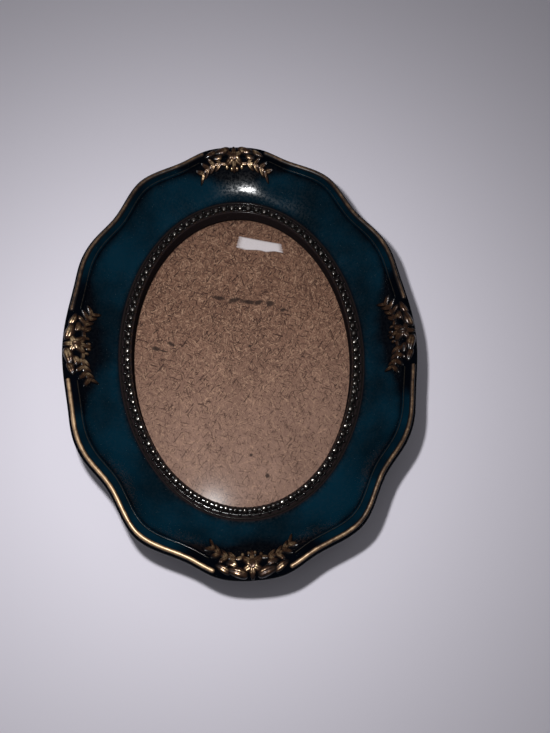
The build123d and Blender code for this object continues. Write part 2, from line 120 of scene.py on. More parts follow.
def run_along(path: np.ndarray) -> np.ndarray:
    """Distance run at each point of a path of two coordinates, 0 at its start."""
    return np.concatenate([[0], np.cumsum(np.hypot(*np.diff(path, axis=0).T))])


def places_along(path: np.ndarray, wanted: np.ndarray) -> np.ndarray:
    """Places on a path of two coordinates, at the wanted distances along it."""
    run = run_along(path)
    return np.stack([np.interp(wanted, run, path[:, axis]) for axis in (0, 1)], axis=-1)


def closed_spline(points: np.ndarray, steps: int) -> np.ndarray:
    """A smooth closed curve through points.

    A cubic between each pair, with one slope and one curvature at each point: the
    curvatures M solve h0 M0 + 2 (h0 + h1) M1 + h1 M2 = 6 (d1 / h1 - d0 / h0), where h is the
    distance between points and d the step.

    Args:
        points: Points by two coordinates, in order, the first not repeated.
        steps: Places on each stretch.

    Returns:
        Places along the curve.
    """
    ahead = np.roll(points, -1, axis=0) - points
    gap = np.linalg.norm(ahead, axis=1)
    before = np.roll(gap, 1)
    count = len(points)
    rows = np.arange(count)
    matrix = np.zeros((count, count))
    matrix[rows, rows - 1] = before
    matrix[rows, rows] = 2 * (before + gap)
    matrix[rows, (rows + 1) % count] = gap
    slope = ahead / gap[:, None]
    curvature = np.linalg.solve(matrix, 6 * (slope - np.roll(slope, 1, axis=0)))
    done = (np.arange(steps) / steps)[None, :, None]
    left = 1 - done
    near, far = points[:, None], np.roll(points, -1, axis=0)[:, None]
    bend_near, bend_far = curvature[:, None], np.roll(curvature, -1, axis=0)[:, None]
    bend = (left**3 - left) * bend_near + (done**3 - done) * bend_far
    curve = near * left + far * done + gap[:, None, None] ** 2 / 6 * bend
    return curve.reshape(-1, 2)


@dataclass
class Surface:
    """Points and faces of one or more grids, with named values for the shaders."""

    points: np.ndarray
    quads: np.ndarray
    values: dict[str, np.ndarray] = field(default_factory=dict)

    @classmethod
    def of_grids(cls, points: np.ndarray, quads: np.ndarray, **values: np.ndarray) -> "Surface":
        """One surface of equal grids.

        Args:
            points: Grids by rows by columns by three coordinates.
            quads: Faces of one grid.
            values: Shader values that spread over grids by rows by columns.

        Returns:
            The grids as one surface.
        """
        shift = np.arange(len(points))[:, None, None] * (points[0].size // 3)
        flat = {
            name: np.broadcast_to(value, points.shape[:-1]).ravel()
            for name, value in values.items()
        }
        return cls(points.reshape(-1, 3), (quads[None] + shift).reshape(-1, 4), flat)

    def __add__(self, other: "Surface") -> "Surface":
        """Both surfaces as one.

        Args:
            other: A surface with the same named values.

        Returns:
            The joined surface.
        """
        values = {
            name: np.concatenate([value, other.values[name]])
            for name, value in self.values.items()
        }
        quads = np.concatenate([self.quads, other.quads + len(self.points)])
        return Surface(np.concatenate([self.points, other.points]), quads, values)

    def flipped(self) -> "Surface":
        """The same surface with its faces turned over."""
        return Surface(self.points, self.quads[:, ::-1], self.values)

    def to_object(self, name: str) -> bpy.types.Object:
        """Makes a smooth mesh object in metres.

        Args:
            name: Name of the piece.

        Returns:
            The linked object.
        """
        mesh = bpy.data.meshes.new(name)
        mesh.vertices.add(len(self.points))
        mesh.vertices.foreach_set("co", (self.points * MM).astype(np.float32).ravel())
        mesh.loops.add(self.quads.size)
        mesh.loops.foreach_set("vertex_index", self.quads.astype(np.int32).ravel())
        mesh.polygons.add(len(self.quads))
        mesh.polygons.foreach_set("loop_start", np.arange(0, self.quads.size, 4, dtype=np.int32))
        mesh.polygons.foreach_set("use_smooth", np.ones(len(self.quads), dtype=bool))
        for value_name, value in self.values.items():
            layer = mesh.attributes.new(value_name, "FLOAT", "POINT")
            layer.data.foreach_set("value", value.astype(np.float32))
        mesh.update(calc_edges=True)
        mesh.validate()
        piece = bpy.data.objects.new(name, mesh)
        bpy.context.scene.collection.objects.link(piece)
        log.info("%s: %d points, %d faces", name, len(self.points), len(self.quads))
        return piece


@dataclass(frozen=True)
class CastingSize:
    """Sizes of the frame body, as in the part's source."""

    sight_half_width: float = 45.0
    sight_half_height: float = 64.2
    outline_half_width: float = 69.6
    outline_half_height: float = 90.4
    recess_depth: float = 6.0
    glass_front: float = 11.1
    lip_height: float = 17.1
    rim_rise: float = 11.4
    rim_width: float = 5.6
    cove_power: float = 1.6
    shoulder: float = 1.0
    edge_line_width: float = 0.7
    edge_line_height: float = 0.5
    edge_line_fade: float = 0.6
    lip_width: float = 4.9
    lip_line_setback: float = 0.3
    lip_line_width: float = 0.6
    lip_line_height: float = 0.6
    rear_round: float = 0.3
    sight_round: float = 0.4
    rebate_width: float = 5.0
    recess_half_width: float = 60.0
    recess_half_height: float = 84.0
    clear_half_width: float = 14.5

    @property
    def rim_height(self) -> float:
        """Height of the rim's flat top above the table."""
        return self.lip_height + self.rim_rise

    def cove_height(self, share: float | np.ndarray) -> float | np.ndarray:
        """Height lip + rise (1 - s)^p, with s from 0 at the rim to 1 at the bead lip."""
        return self.lip_height + self.rim_rise * (1 - share) ** self.cove_power


class Casting:
    """The scalloped form that the body, the rods and the sprays share.

    SHARES are places on a quarter of the outline, as shares of its half width and half height.
    """

    SHARES = (
        *((1.000, 0.000), (0.986, 0.135), (0.950, 0.294), (0.926, 0.392)),
        *((0.856, 0.505), (0.735, 0.620), (0.640, 0.758), (0.586, 0.815)),
        *((0.516, 0.854), (0.321, 0.922), (0.190, 0.978), (0.000, 1.000)),
    )
    STEPS = 40
    SLOPE_STEP = 0.1

    def __init__(self, size: CastingSize) -> None:
        """Works out the outline from its quarter, mirrored.

        Args:
            size: Sizes of the frame body.
        """
        self.size = size
        quarter = np.array(self.SHARES)
        half = np.concatenate([quarter, quarter[-2::-1] * (-1, 1)])
        whole = np.concatenate([half, half[-2:0:-1] * (1, -1)])
        reach = (size.outline_half_width, size.outline_half_height)
        self.outline = closed_spline(whole * reach, self.STEPS)

    def outline_at(self, inset: float) -> np.ndarray:
        """Places along the outline, shrunk so that it is drawn in at its ends and sides.

        Args:
            inset: How far it is drawn in.

        Returns:
            Places by two coordinates.
        """
        size = self.size
        shrink = (1 - inset / size.outline_half_width, 1 - inset / size.outline_half_height)
        return self.outline * shrink

    def radius(self, angle: np.ndarray, inset: float = 0.0) -> np.ndarray:
        """Distance from the middle to the outline, read between its places.

        Args:
            angle: Angles round the middle.
            inset: How far the outline is drawn in.

        Returns:
            The distance at each angle.
        """
        places = self.outline_at(inset)
        angles = np.arctan2(places[:, 1], places[:, 0]) % (2 * np.pi)
        order = np.argsort(angles)
        distance = np.hypot(*places.T)
        return np.interp(angle, angles[order], distance[order], period=2 * np.pi)

    @staticmethod
    def oval(angle: np.ndarray, half_width: float, half_height: float) -> np.ndarray:
        """Distance from the middle to an ellipse: a b / sqrt((b cos)^2 + (a sin)^2).

        Args:
            angle: Angles round the middle.
            half_width: The ellipse's half width a.
            half_height: Its half height b.

        Returns:
            The distance at each angle.
        """
        return half_width * half_height / np.hypot(
            half_height * np.cos(angle), half_width * np.sin(angle)
        )

    def front(self, x: np.ndarray, y: np.ndarray) -> np.ndarray:
        """Height of the front: flat rim, rounded shoulder and scooped cove.

        The shoulder falls by r (1 - sqrt(1 - t^2)), with t from 0 at its start to 1 at the
        outline.

        Args:
            x: Places across the frame.
            y: Places up the frame.

        Returns:
            The height over each place.
        """
        size = self.size
        angle, distance = np.arctan2(y, x), np.hypot(x, y)
        rim = self.radius(angle, size.rim_width)
        sight = (size.sight_half_width + size.lip_width, size.sight_half_height + size.lip_width)
        lip = self.oval(angle, *sight)
        height = size.cove_height(np.clip((rim - distance) / (rim - lip), 0, 1))
        over = np.clip(1 + (distance - self.radius(angle)) / size.shoulder, 0, 1)
        return height - size.shoulder * (1 - np.sqrt(1 - over**2))

    def on_front(self, x: np.ndarray, y: np.ndarray, rise: np.ndarray) -> np.ndarray:
        """Points that stand off the front surface, square to it.

        The normal is (-dz/dx, -dz/dy, 1) from differences over a fifth of a millimetre.

        Args:
            x: Places across the frame.
            y: Places up the frame.
            rise: Distance off the surface.

        Returns:
            The points, with a last axis of three.
        """
        step = self.SLOPE_STEP
        slope_x = (self.front(x + step, y) - self.front(x - step, y)) / (2 * step)
        slope_y = (self.front(x, y + step) - self.front(x, y - step)) / (2 * step)
        normal = np.stack([-slope_x, -slope_y, np.ones_like(x)], axis=-1)
        normal /= np.linalg.norm(normal, axis=-1, keepdims=True)
        return np.stack([x, y, self.front(x, y)], axis=-1) + normal * rise[..., None]


Row = tuple[float, ...]


class Body:
    """The cast body, one closed surface turned round the frame's middle.

    The lists of heights, insets and places say where the section has rows, in millimetres.
    """

    ANGLES = 960
    COVE_ROWS = 28
    LINE_SHARES = (0.0, 0.15, 0.35, 0.5, 0.65, 0.85, 1.0)
    LINE_POWER = 0.6
    WALL_HEIGHTS = (4.0, 9.0, 14.0, 19.0, 23.0)
    RIM_INSETS = (1.6, 2.6, 3.6, 4.4, 4.8)
    LIP_PLACES = (3.4, 2.4, 1.4, 0.6)
    SIGHT_HEIGHTS = (15.0, 13.0)
    BESIDE_EDGE = 0.1
    SIGHT_RUB = 0.8
    PAINT_START = 2.5
    WALL_DROP = 0.5
    SHADOW_INSET = 6
    SHADOW_OVAL = (8, 19)
    SHADOW_REACH = 1.6

    def __init__(self, casting: Casting) -> None:
        """Takes the form that the body is cast in."""
        self.casting = casting
        self.size = casting.size

    @staticmethod
    def outer(inset: float, height: float, ridge: float = 0.0, line: float = 0.0) -> Row:
        """A row of the section that follows the outline."""
        return (0.0, inset, 1.0, 1.0, height, ridge, line)

    def inner(self, outside: float, height: float, ridge: float = 0.0) -> Row:
        """A row of the section that follows the sight oval.

        Args:
            outside: How far the oval is grown outwards.
            height: Height of the row.
            ridge: Its ridge value for the lacquer.

        Returns:
            The row.
        """
        size = self.size
        width, tall = size.sight_half_width + outside, size.sight_half_height + outside
        return (1.0, 0.0, width, tall, height, ridge, 0.0)

    def recess(self, inset: float, height: float) -> Row:
        """A row of the section that follows the rear recess, drawn in."""
        width, tall = self.size.recess_half_width - inset, self.size.recess_half_height - inset
        return (1.0, 0.0, width, tall, height, 0.0, 0.0)

    def cove(self, share: float) -> Row:
        """A row of the section on the scooped cove.

        Args:
            share: Where it is between the rim, at 0, and the bead lip, at 1.

        Returns:
            The row.
        """
        size = self.size
        _, _, width, tall, *_ = self.inner(size.lip_width, 0.0)
        return (share, size.rim_width, width, tall, size.cove_height(share), 0.0, 0.0)

    def section(self) -> np.ndarray:
        """The body's section, from the rear of the outline over the front to the recess.

        A raised line has the height sin(pi s)^0.6 over its width.

        Returns:
            Rows of: share towards the oval, inset of the outline, half width and half height
            of the oval, height, ridge value, edge line value.
        """
        size, near = self.size, self.BESIDE_EDGE
        outer, inner, recess = self.outer, self.inner, self.recess
        top, lip = size.rim_height, size.lip_height
        glass, deep, rebate = size.glass_front, size.recess_depth, size.rebate_width
        edge_line = size.rim_width - size.edge_line_width
        lip_line = size.lip_width - size.lip_line_setback
        bumps = [(s, math.sin(math.pi * s) ** self.LINE_POWER) for s in self.LINE_SHARES]
        shoulder, low, sight = size.shoulder, size.rear_round, size.sight_round
        rows = [
            *(outer(low * (1 - sin), low * (1 - cos)) for sin, cos in corner_turns(30)),
            *(outer(0, height) for height in self.WALL_HEIGHTS),
            *(
                outer(shoulder * (1 - cos), top - shoulder * (1 - sin), sin * cos)
                for sin, cos in corner_turns(15)
            ),
            *(outer(inset, top) for inset in self.RIM_INSETS),
            *(outer(edge_line + size.edge_line_width * s, top, bump, bump) for s, bump in bumps),
            *(self.cove(share) for share in np.linspace(0, 1, self.COVE_ROWS + 1)[1:]),
            *(
                inner(lip_line - size.lip_line_width * s, lip + size.lip_line_height * bump, bump)
                for s, bump in bumps
            ),
            *(inner(outside, lip) for outside in self.LIP_PLACES),
            *(
                inner(sight * (1 - sin), lip - sight * (1 - cos), self.SIGHT_RUB * sin * cos)
                for sin, cos in corner_turns(15)
            ),
            *(inner(0, height) for height in (*self.SIGHT_HEIGHTS, glass + near, glass)),
            *(inner(outside, glass) for outside in (near, rebate / 2, rebate - near, rebate)),
            *(
                inner(rebate, height)
                for height in (glass - near, (glass + deep) / 2, deep + near, deep)
            ),
            *(recess(inset, deep) for inset in (9.0, 5.0, near, 0.0)),
            *(recess(0, height) for height in (deep - near, deep / 2, near, 0.0)),
            recess(-near, 0.0),
            (0.5, low, size.recess_half_width, size.recess_half_height, 0.0, 0.0, 0.0),
        ]
        return np.array(rows)

    def surface(self) -> Surface:
        """The body's closed grid: r = (1 - s) outline + s oval at every angle.

        Returns:
            The surface with its shader values.
        """
        size, casting = self.size, self.casting
        rows = self.section()
        share, inset, width, tall, height, ridge, line = rows.T
        angle = (np.arange(self.ANGLES) / self.ANGLES * 2 * np.pi)[:, None]
        insets, place = np.unique(inset, return_inverse=True)
        outline = np.stack([casting.radius(angle[:, 0], value) for value in insets], axis=1)
        radius = (1 - share) * outline[:, place] + share * casting.oval(angle, width, tall)
        x, y = radius * np.cos(angle), radius * np.sin(angle)
        fade = self.line_fade(x, y)
        z = height + size.edge_line_height * line * fade
        front = (height > size.glass_front).astype(float)
        on_cove = (share > 0) & (share < 1) & (height > 1)
        below_rim = height < size.rim_height - self.WALL_DROP
        return Surface.of_grids(
            np.stack([x, y, z], axis=-1)[None],
            grid_quads(self.ANGLES, len(rows), wrap_rows=True, wrap_columns=True),
            ridge=np.where(line > 0, ridge * fade, ridge) * front,
            cove=np.where(on_cove, np.sin(np.pi * share.clip(0, 1)) ** 0.5, 0),
            wall=(share == 0) & below_rim,
            flat=(share == 0) & (inset > self.PAINT_START),
            sight=(share == 1) * (height < size.lip_height + TINY) * front,
            spray=self.spray_shadow(x, y) * front,
        )

    def line_fade(self, x: np.ndarray, y: np.ndarray) -> np.ndarray:
        """Share of the rim's fine line that shows: t^2 (3 - 2 t), none beside the sprays.

        Args:
            x: Places across the frame.
            y: Places up the frame.

        Returns:
            Shares from 0 to 1.
        """
        away = np.minimum(np.abs(x), np.abs(y)) - self.size.clear_half_width
        share = np.clip(away / self.size.edge_line_fade, 0, 1)
        return share * share * (3 - 2 * share)

    def spray_shadow(self, x: np.ndarray, y: np.ndarray) -> np.ndarray:
        """1 under a spray, 0 far off: a reach less the distance in ovals round the sprays.

        Args:
            x: Places across the frame.
            y: Places up the frame.

        Returns:
            Shares from 0 to 1.
        """
        size, inset, (deep, long) = self.size, self.SHADOW_INSET, self.SHADOW_OVAL
        side = np.hypot((np.abs(x) - size.outline_half_width + inset) / deep, y / long)
        end = np.hypot(x / long, (np.abs(y) - size.outline_half_height + inset) / deep)
        return np.clip(self.SHADOW_REACH - np.minimum(side, end), 0, 1)


@dataclass(frozen=True)
class RodSize:
    """Half-round gilded rods on the rim."""

    radius: float = 0.9
    inset: float = 1.9
    first_share: float = 0.12
    last_share: float = 0.885
    unevenness: float = 0.05
    along: int = 260
    across: int = 13


class RimRod:
    """One gilded rod on a quarter of the rim."""

    WAVES = (0.9, 0.37)

    def __init__(self, casting: Casting, size: RodSize) -> None:
        """Takes the form that the rod lies on, and its sizes."""
        self.casting = casting
        self.size = size

    def surface(self, mirror_x: bool, mirror_y: bool) -> Surface:
        """The rod: centre + r (cos u side + sin u up), r falling to 0 round both ends.

        Args:
            mirror_x: Whether the rod is on the left.
            mirror_y: Whether the rod is at the bottom.

        Returns:
            The rod's surface.
        """
        size, casting = self.size, self.casting
        quarter = len(casting.outline) // 4
        path = casting.outline_at(size.inset)[: quarter + 1]
        whole = run_along(path)[-1]
        start, end = size.first_share * whole, size.last_share * whole
        middle, half = (start + end) / 2, (end - start) / 2 + size.radius
        run = middle - half * np.cos(np.linspace(0, np.pi, size.along))
        centre = places_along(path, run)
        tangent = np.gradient(centre, axis=0)
        tangent /= np.linalg.norm(tangent, axis=-1, keepdims=True)
        side = tangent[:, ::-1] * (1, -1)
        to_end = np.clip((half - np.abs(run - middle)) / size.radius, 0, 1)
        taper = np.sqrt(1 - (1 - to_end) ** 2)
        short, long = self.WAVES
        uneven = 1 + size.unevenness * np.sin(run * short) * np.sin(run * long + 1)
        radius = (size.radius * taper * uneven.clip(0, 1))[:, None]
        turn = np.linspace(0, np.pi, size.across)
        flat = centre[:, None] + (radius * np.cos(turn))[..., None] * side[:, None]
        flat = flat * (-1 if mirror_x else 1, -1 if mirror_y else 1)
        height = casting.size.rim_height + radius * np.sin(turn)
        made = Surface.of_grids(
            np.concatenate([flat, height[..., None]], axis=-1)[None],
            grid_quads(size.along, size.across),
            high=np.sin(turn) * taper[:, None],
        )
        return made.flipped() if mirror_x != mirror_y else made


@dataclass(frozen=True)
class BeadSize:
    """One row of beads on the sight edge.

    Wrap is how many degrees down from its top a bead goes, and crest its high value there.
    """

    radius: float
    inset: float
    lift: float
    first: float
    band_width: float
    count: int = 98
    band_thickness: float = 0.4
    band_bevel: float = 0.08
    crest: float = 1.0
    wrap: float = 118.0
    unevenness: float = 0.02
    rows: int = 15


class BeadRow:
    """A row of round beads on a low oval band."""

    OVAL_STEPS = 4000
    BAND_STEPS = 360
    SWELL_TURN = 2.4

    def __init__(self, casting: Casting, size: BeadSize) -> None:
        """Works out the oval that the row follows.

        Args:
            casting: The form that the row lies on.
            size: Sizes of the row.
        """
        self.casting = casting
        self.size = size
        self.half_width = casting.size.sight_half_width + size.inset
        self.half_height = casting.size.sight_half_height + size.inset

    def places(self) -> np.ndarray:
        """Places of the beads, evenly spaced along the row's oval.

        Returns:
            Beads by two coordinates.
        """
        size = self.size
        turn = np.linspace(0, 2 * np.pi, self.OVAL_STEPS + 1)
        oval = np.stack([self.half_width * np.cos(turn), self.half_height * np.sin(turn)], axis=-1)
        return places_along(
            oval, (np.arange(size.count) + size.first) / size.count * run_along(oval)[-1]
        )

    def surface(self) -> Surface:
        """The beads and their band.

        Each bead is a disc whose radius becomes the angle down from the bead's top.

        Returns:
            The row's surface.
        """
        size = self.size
        x, y, spread = square_disc(size.rows)
        down = spread * np.radians(size.wrap)
        flat = np.sin(down) / np.maximum(spread, TINY) * size.radius
        bead = np.stack([x * flat, y * flat, np.cos(down) * size.radius], axis=-1)
        height = self.casting.size.lip_height + size.band_thickness + size.lift
        centres = np.insert(self.places(), 2, height, axis=-1)
        swell = 1 - size.unevenness * (1 + np.sin(np.arange(size.count) * self.SWELL_TURN))
        beads = Surface.of_grids(
            centres[:, None, None] + bead * swell[:, None, None, None],
            grid_quads(size.rows, size.rows),
            high=np.cos(down) * size.crest,
        )
        return beads + self.band()

    def band(self) -> Surface:
        """The band under the beads: an oval strip, flat on top, with two upright sides.

        Returns:
            The band's surface.
        """
        size = self.size
        angle = np.linspace(0, 2 * np.pi, self.BAND_STEPS + 1)[:-1][:, None]
        half, bevel, top = size.band_width / 2, size.band_bevel, size.band_thickness
        out = np.array([half, half, half - bevel, bevel - half, -half, -half])
        rise = np.array([0, top - bevel, top, top, top - bevel, 0])
        x = (self.half_width + out) * np.cos(angle)
        y = (self.half_height + out) * np.sin(angle)
        z = np.broadcast_to(self.casting.size.lip_height + rise, x.shape)
        quads = grid_quads(self.BAND_STEPS, len(out), wrap_rows=True)
        return Surface.of_grids(np.stack([x, y, z], axis=-1)[None], quads, high=0.0).flipped()


@dataclass(frozen=True)
class SpraySize:
    """A floral spray, placed by how far along the rim and how far in.

    A scroll leaf has: along, inwards, length, half width, turn in degrees. It rises by its
    half width.
    """

    flower_inset: float = 5.4
    boss_radius: float = 1.7
    boss_dimple: float = 0.3
    petals: int = 6
    petal_length: float = 5.6
    petal_half_width: float = 1.45
    petal_reach: float = 2.3
    petal_rise: float = 1.25
    sprig_start: Pair = (3.5, 7.4)
    sprig_middle: Pair = (9.6, 7.2)
    sprig_end: Pair = (15.4, 8.4)
    sprig_bow: float = 0.03
    stem_radius: float = 0.7
    stem_rise: float = 0.8
    stem_overlap: float = 1.6
    leaflet_length: float = 4.8
    leaflet_half_width: float = 0.95
    leaflet_rise: float = 0.95
    leaflet_angle: float = 38.0
    leaflet_reach: float = 1.6
    leaflet_pairs: int = 4
    berry_radius: float = 0.95
    berries: tuple[Pair, ...] = ((1.3, 9.0), (3.6, 8.4), (6.2, 4.3))
    scrolls: tuple[tuple[float, ...], ...] = (
        (5.6, 2.6, 8.4, 2.0, 12.0),
        (10.8, 3.2, 6.4, 1.5, 16.0),
        (7.6, 5.2, 5.0, 1.1, 8.0),
    )
    scroll_bow: float = 0.06
    sink: float = 0.04


class Spray:
    """A flower between scroll leaves, berries and two leafy sprigs, draped on the front."""

    LEAF_GRID = (33, 17)
    DOME_ROWS = 19
    RIB_DEPTH = 0.16
    RIB_WIDTH = 0.2
    VEIN_DEPTH = 0.04
    DIMPLE_WIDTH = 0.3

    def __init__(self, casting: Casting, size: SpraySize) -> None:
        """Takes the form that the spray is draped on, and its sizes."""
        self.casting = casting
        self.size = size

    def drape(
        self, middle: float, along: np.ndarray, inwards: np.ndarray, rise: np.ndarray
    ) -> np.ndarray:
        """Points over places of the spray.

        The angle is middle + along / R and the distance from the middle is outline - inwards.

        Args:
            middle: Angle of the spray's middle.
            along: Distances along the rim.
            inwards: Distances in from the outline.
            rise: Distances off the front.

        Returns:
            The points, with a last axis of three.
        """
        casting = self.casting
        angle = middle + along / casting.radius(np.array([middle]))[0]
        radius = casting.radius(angle) - inwards
        rise = rise - self.size.sink
        return casting.on_front(radius * np.cos(angle), radius * np.sin(angle), rise)

    def leaves(self, middle: float, rows: np.ndarray, bow: float) -> Surface:
        """Pointed leaves with a raised rib and curled sides.

        Along a leaf t runs from -1 to 1: half width w = (1 - t^2)^0.5 (1 - t / 5), and across
        it s runs from -1 to 1: rise = h w^0.8 (1 - s^2)^0.5, less a groove along the rib of
        exp(-(s / rib width)^2), with fine veins of sin(14 t - 5 |s|) |s|.

        Args:
            middle: Angle of the spray's middle.
            rows: One row a leaf: along, inwards, length, half width, turn in degrees, rise.
            bow: Sideways bend of each leaf as a share of its length.

        Returns:
            All the leaves.
        """
        t, s = (np.linspace(-1, 1, count) for count in self.LEAF_GRID)
        t = t[:, None]
        along, inwards, length, half, turn, height = rows.T[:, :, None, None]
        round_off = 1 - t**2
        width = round_off**0.5 * (1 - t / 5)
        run = length / 2 * t
        side = half * width * s + bow * length * round_off * np.sign(along + TINY)
        cos, sin = np.cos(np.radians(turn)), np.sin(np.radians(turn))
        dome = width**0.8 * np.sqrt(1 - s**2)
        groove = np.exp(-((s / self.RIB_WIDTH) ** 2)) * round_off**0.3
        dome = dome * (1 - self.RIB_DEPTH * groove)
        veins = 1 + self.VEIN_DEPTH * np.sin(14 * t - 5 * np.abs(s)) * np.abs(s)
        points = self.drape(
            middle,
            along + run * cos - side * sin,
            inwards + run * sin + side * cos,
            height * dome * veins,
        )
        return Surface.of_grids(points, grid_quads(*self.LEAF_GRID), high=np.clip(dome, 0, 1))

    def domes(self, middle: float, rows: np.ndarray, dimple: float) -> Surface:
        """Round berries and bosses: a disc of radius q rises by sqrt(1 - q^2), less a dimple.

        Args:
            middle: Angle of the spray's middle.
            rows: One row a dome: along, inwards, radius, rise.
            dimple: Depth of the hollow in the top as a share of the rise.

        Returns:
            All the domes.
        """
        x, y, q = square_disc(self.DOME_ROWS)
        down = q * np.pi / 2
        along, inwards, radius, height = rows.T[:, :, None, None]
        lobes = 1 + 0.5 * dimple * np.cos(5 * np.arctan2(y, x)) * q**2
        out = radius * lobes * np.sin(down) / np.maximum(q, TINY)
        crest = np.cos(down) - dimple * np.exp(-((q / self.DIMPLE_WIDTH) ** 2))
        points = self.drape(middle, along + x * out, inwards + y * out, height * crest)
        quads = grid_quads(self.DOME_ROWS, self.DOME_ROWS)
        return Surface.of_grids(points, quads, high=np.clip(crest, 0, 1))

    @staticmethod
    def rows_of(places: np.ndarray, *values: float | np.ndarray) -> np.ndarray:
        """Rows of leaves or domes: their places, then values for all or for each of them."""
        return np.column_stack(np.broadcast_arrays(*places.T, *values))

    @staticmethod
    def toward(turn: np.ndarray) -> np.ndarray:
        """Steps of length 1, along and inwards, at turns in degrees."""
        return np.column_stack([np.cos(np.radians(turn)), np.sin(np.radians(turn))])

    @staticmethod
    def both_sides(rows: np.ndarray) -> np.ndarray:
        """The rows and their mirror images on the other side of the spray's middle.

        Args:
            rows: Rows of leaves, with a turn, or of domes, without one.

        Returns:
            Twice as many rows.
        """
        mirrored = rows.copy()
        mirrored[:, 0] *= -1
        if rows.shape[1] > 4:
            mirrored[:, 4] = 180 - rows[:, 4]
        return np.concatenate([rows, mirrored])

    def sprig_rows(self) -> np.ndarray:
        """Stem pieces and paired leaflets of one sprig, along a parabola through three places.

        Returns:
            Leaf rows for both sprigs.
        """
        size = self.size
        part = np.linspace(0, 1, size.leaflet_pairs + 1)[:, None]
        first, middle, last = map(np.array, (size.sprig_start, size.sprig_middle, size.sprig_end))
        stem = (
            (1 - part) * (1 - 2 * part) * first
            + 4 * part * (1 - part) * middle
            + part * (2 * part - 1) * last
        )
        step = np.diff(stem, axis=0)
        heading = np.degrees(np.arctan2(step[:, 1], step[:, 0]))
        length = size.stem_overlap * np.hypot(*step.T)
        between = (stem[1:] + stem[:-1]) / 2
        rows = [self.rows_of(between, length, size.stem_radius, heading, size.stem_rise)]
        length, half, rise = size.leaflet_length, size.leaflet_half_width, size.leaflet_rise
        for turn in (heading - size.leaflet_angle, heading + size.leaflet_angle):
            places = stem[1:] + size.leaflet_reach * self.toward(turn)
            rows.append(self.rows_of(places, length, half, turn, rise))
        return self.both_sides(np.concatenate(rows))

    def petal_rows(self) -> np.ndarray:
        """The flower's petals, spaced evenly round its middle.

        Returns:
            Leaf rows of the petals.
        """
        size = self.size
        turn = 360 * (np.arange(size.petals) + 0.5) / size.petals
        places = (0, size.flower_inset) + size.petal_reach * self.toward(turn)
        half, rise = size.petal_half_width, size.petal_rise
        return self.rows_of(places, size.petal_length, half, turn, rise)

    def surface(self, middle: float) -> Surface:
        """The whole spray.

        Args:
            middle: Angle of the spray's middle round the frame.

        Returns:
            Its surface.
        """
        size = self.size
        scrolls = np.array(size.scrolls)
        scrolls = self.rows_of(scrolls, scrolls[:, 3])
        flower = np.array([[0, size.flower_inset]])
        boss = self.rows_of(flower, size.boss_radius, size.boss_radius)
        berries = self.rows_of(np.array(size.berries), size.berry_radius, size.berry_radius)
        return (
            self.leaves(middle, self.both_sides(scrolls), size.scroll_bow)
            + self.leaves(middle, self.sprig_rows(), size.sprig_bow)
            + self.leaves(middle, self.petal_rows(), 0.0)
            + self.domes(middle, boss, size.boss_dimple)
            + self.domes(middle, self.both_sides(berries), 0.0)
        ).flipped()


@dataclass(frozen=True)
class ScrapSize:
    """The torn paper scrap, corner by corner. A ring has its share outwards and its thickness."""

    bottom: float = 8.8
    thickness: float = 0.2
    torn_depth: float = 0.33
    corners: tuple[Pair, ...] = (
        *((0.6, 57.2), (10.6, 54.9), (20.1, 52.4), (20.7, 47.6), (17.0, 48.6)),
        *((13.1, 48.2), (8.4, 49.4), (2.8, 49.9), (-1.0, 51.4)),
    )
    ripples: tuple[Place, ...] = ((0.16, 5.1, 0), (0.10, 11.7, 1), (0.07, 23.0, 2))
    rings: tuple[Pair, ...] = (
        *((0.0, 1), (0.3, 1), (0.55, 1), (0.75, 1), (0.88, 1)),
        *((0.95, 0.95), (0.985, 0.75), (1.0, 0.1)),
    )


class PaperScrap:
    """A torn scrap of paper, ragged at its edge."""

    EDGE_STEPS = 360

    def __init__(self, size: ScrapSize) -> None:
        """Takes the scrap's sizes."""
        self.size = size

    def surface(self) -> Surface:
        """Rings from the scrap's middle to its ragged edge, where it thins out.

        The edge is the corner polygon, moved in by a torn depth and a sum of sines.

        Returns:
            The scrap's surface.
        """
        size = self.size
        corners = np.array(size.corners)
        middle = corners.mean(axis=0)
        loop = np.concatenate([corners, corners[:1]])
        run = np.linspace(0, run_along(loop)[-1], self.EDGE_STEPS + 1)[:-1]
        edge = places_along(loop, run)
        ragged = sum(depth * np.sin(rate * run + shift) for depth, rate, shift in size.ripples)
        toward = edge - middle
        far = np.linalg.norm(toward, axis=-1, keepdims=True)
        toward = toward - toward / far * (size.torn_depth + ragged)[:, None]
        share, thin = np.array(size.rings).T[:, :, None]
        rise = np.broadcast_to(size.bottom + size.thickness * thin, (len(share), len(edge)))
        points = np.concatenate([middle + toward * share[..., None], rise[..., None]], axis=-1)
        quads = grid_quads(len(share), len(edge), wrap_columns=True)
        return Surface.of_grids(points[None], quads, edge=share)


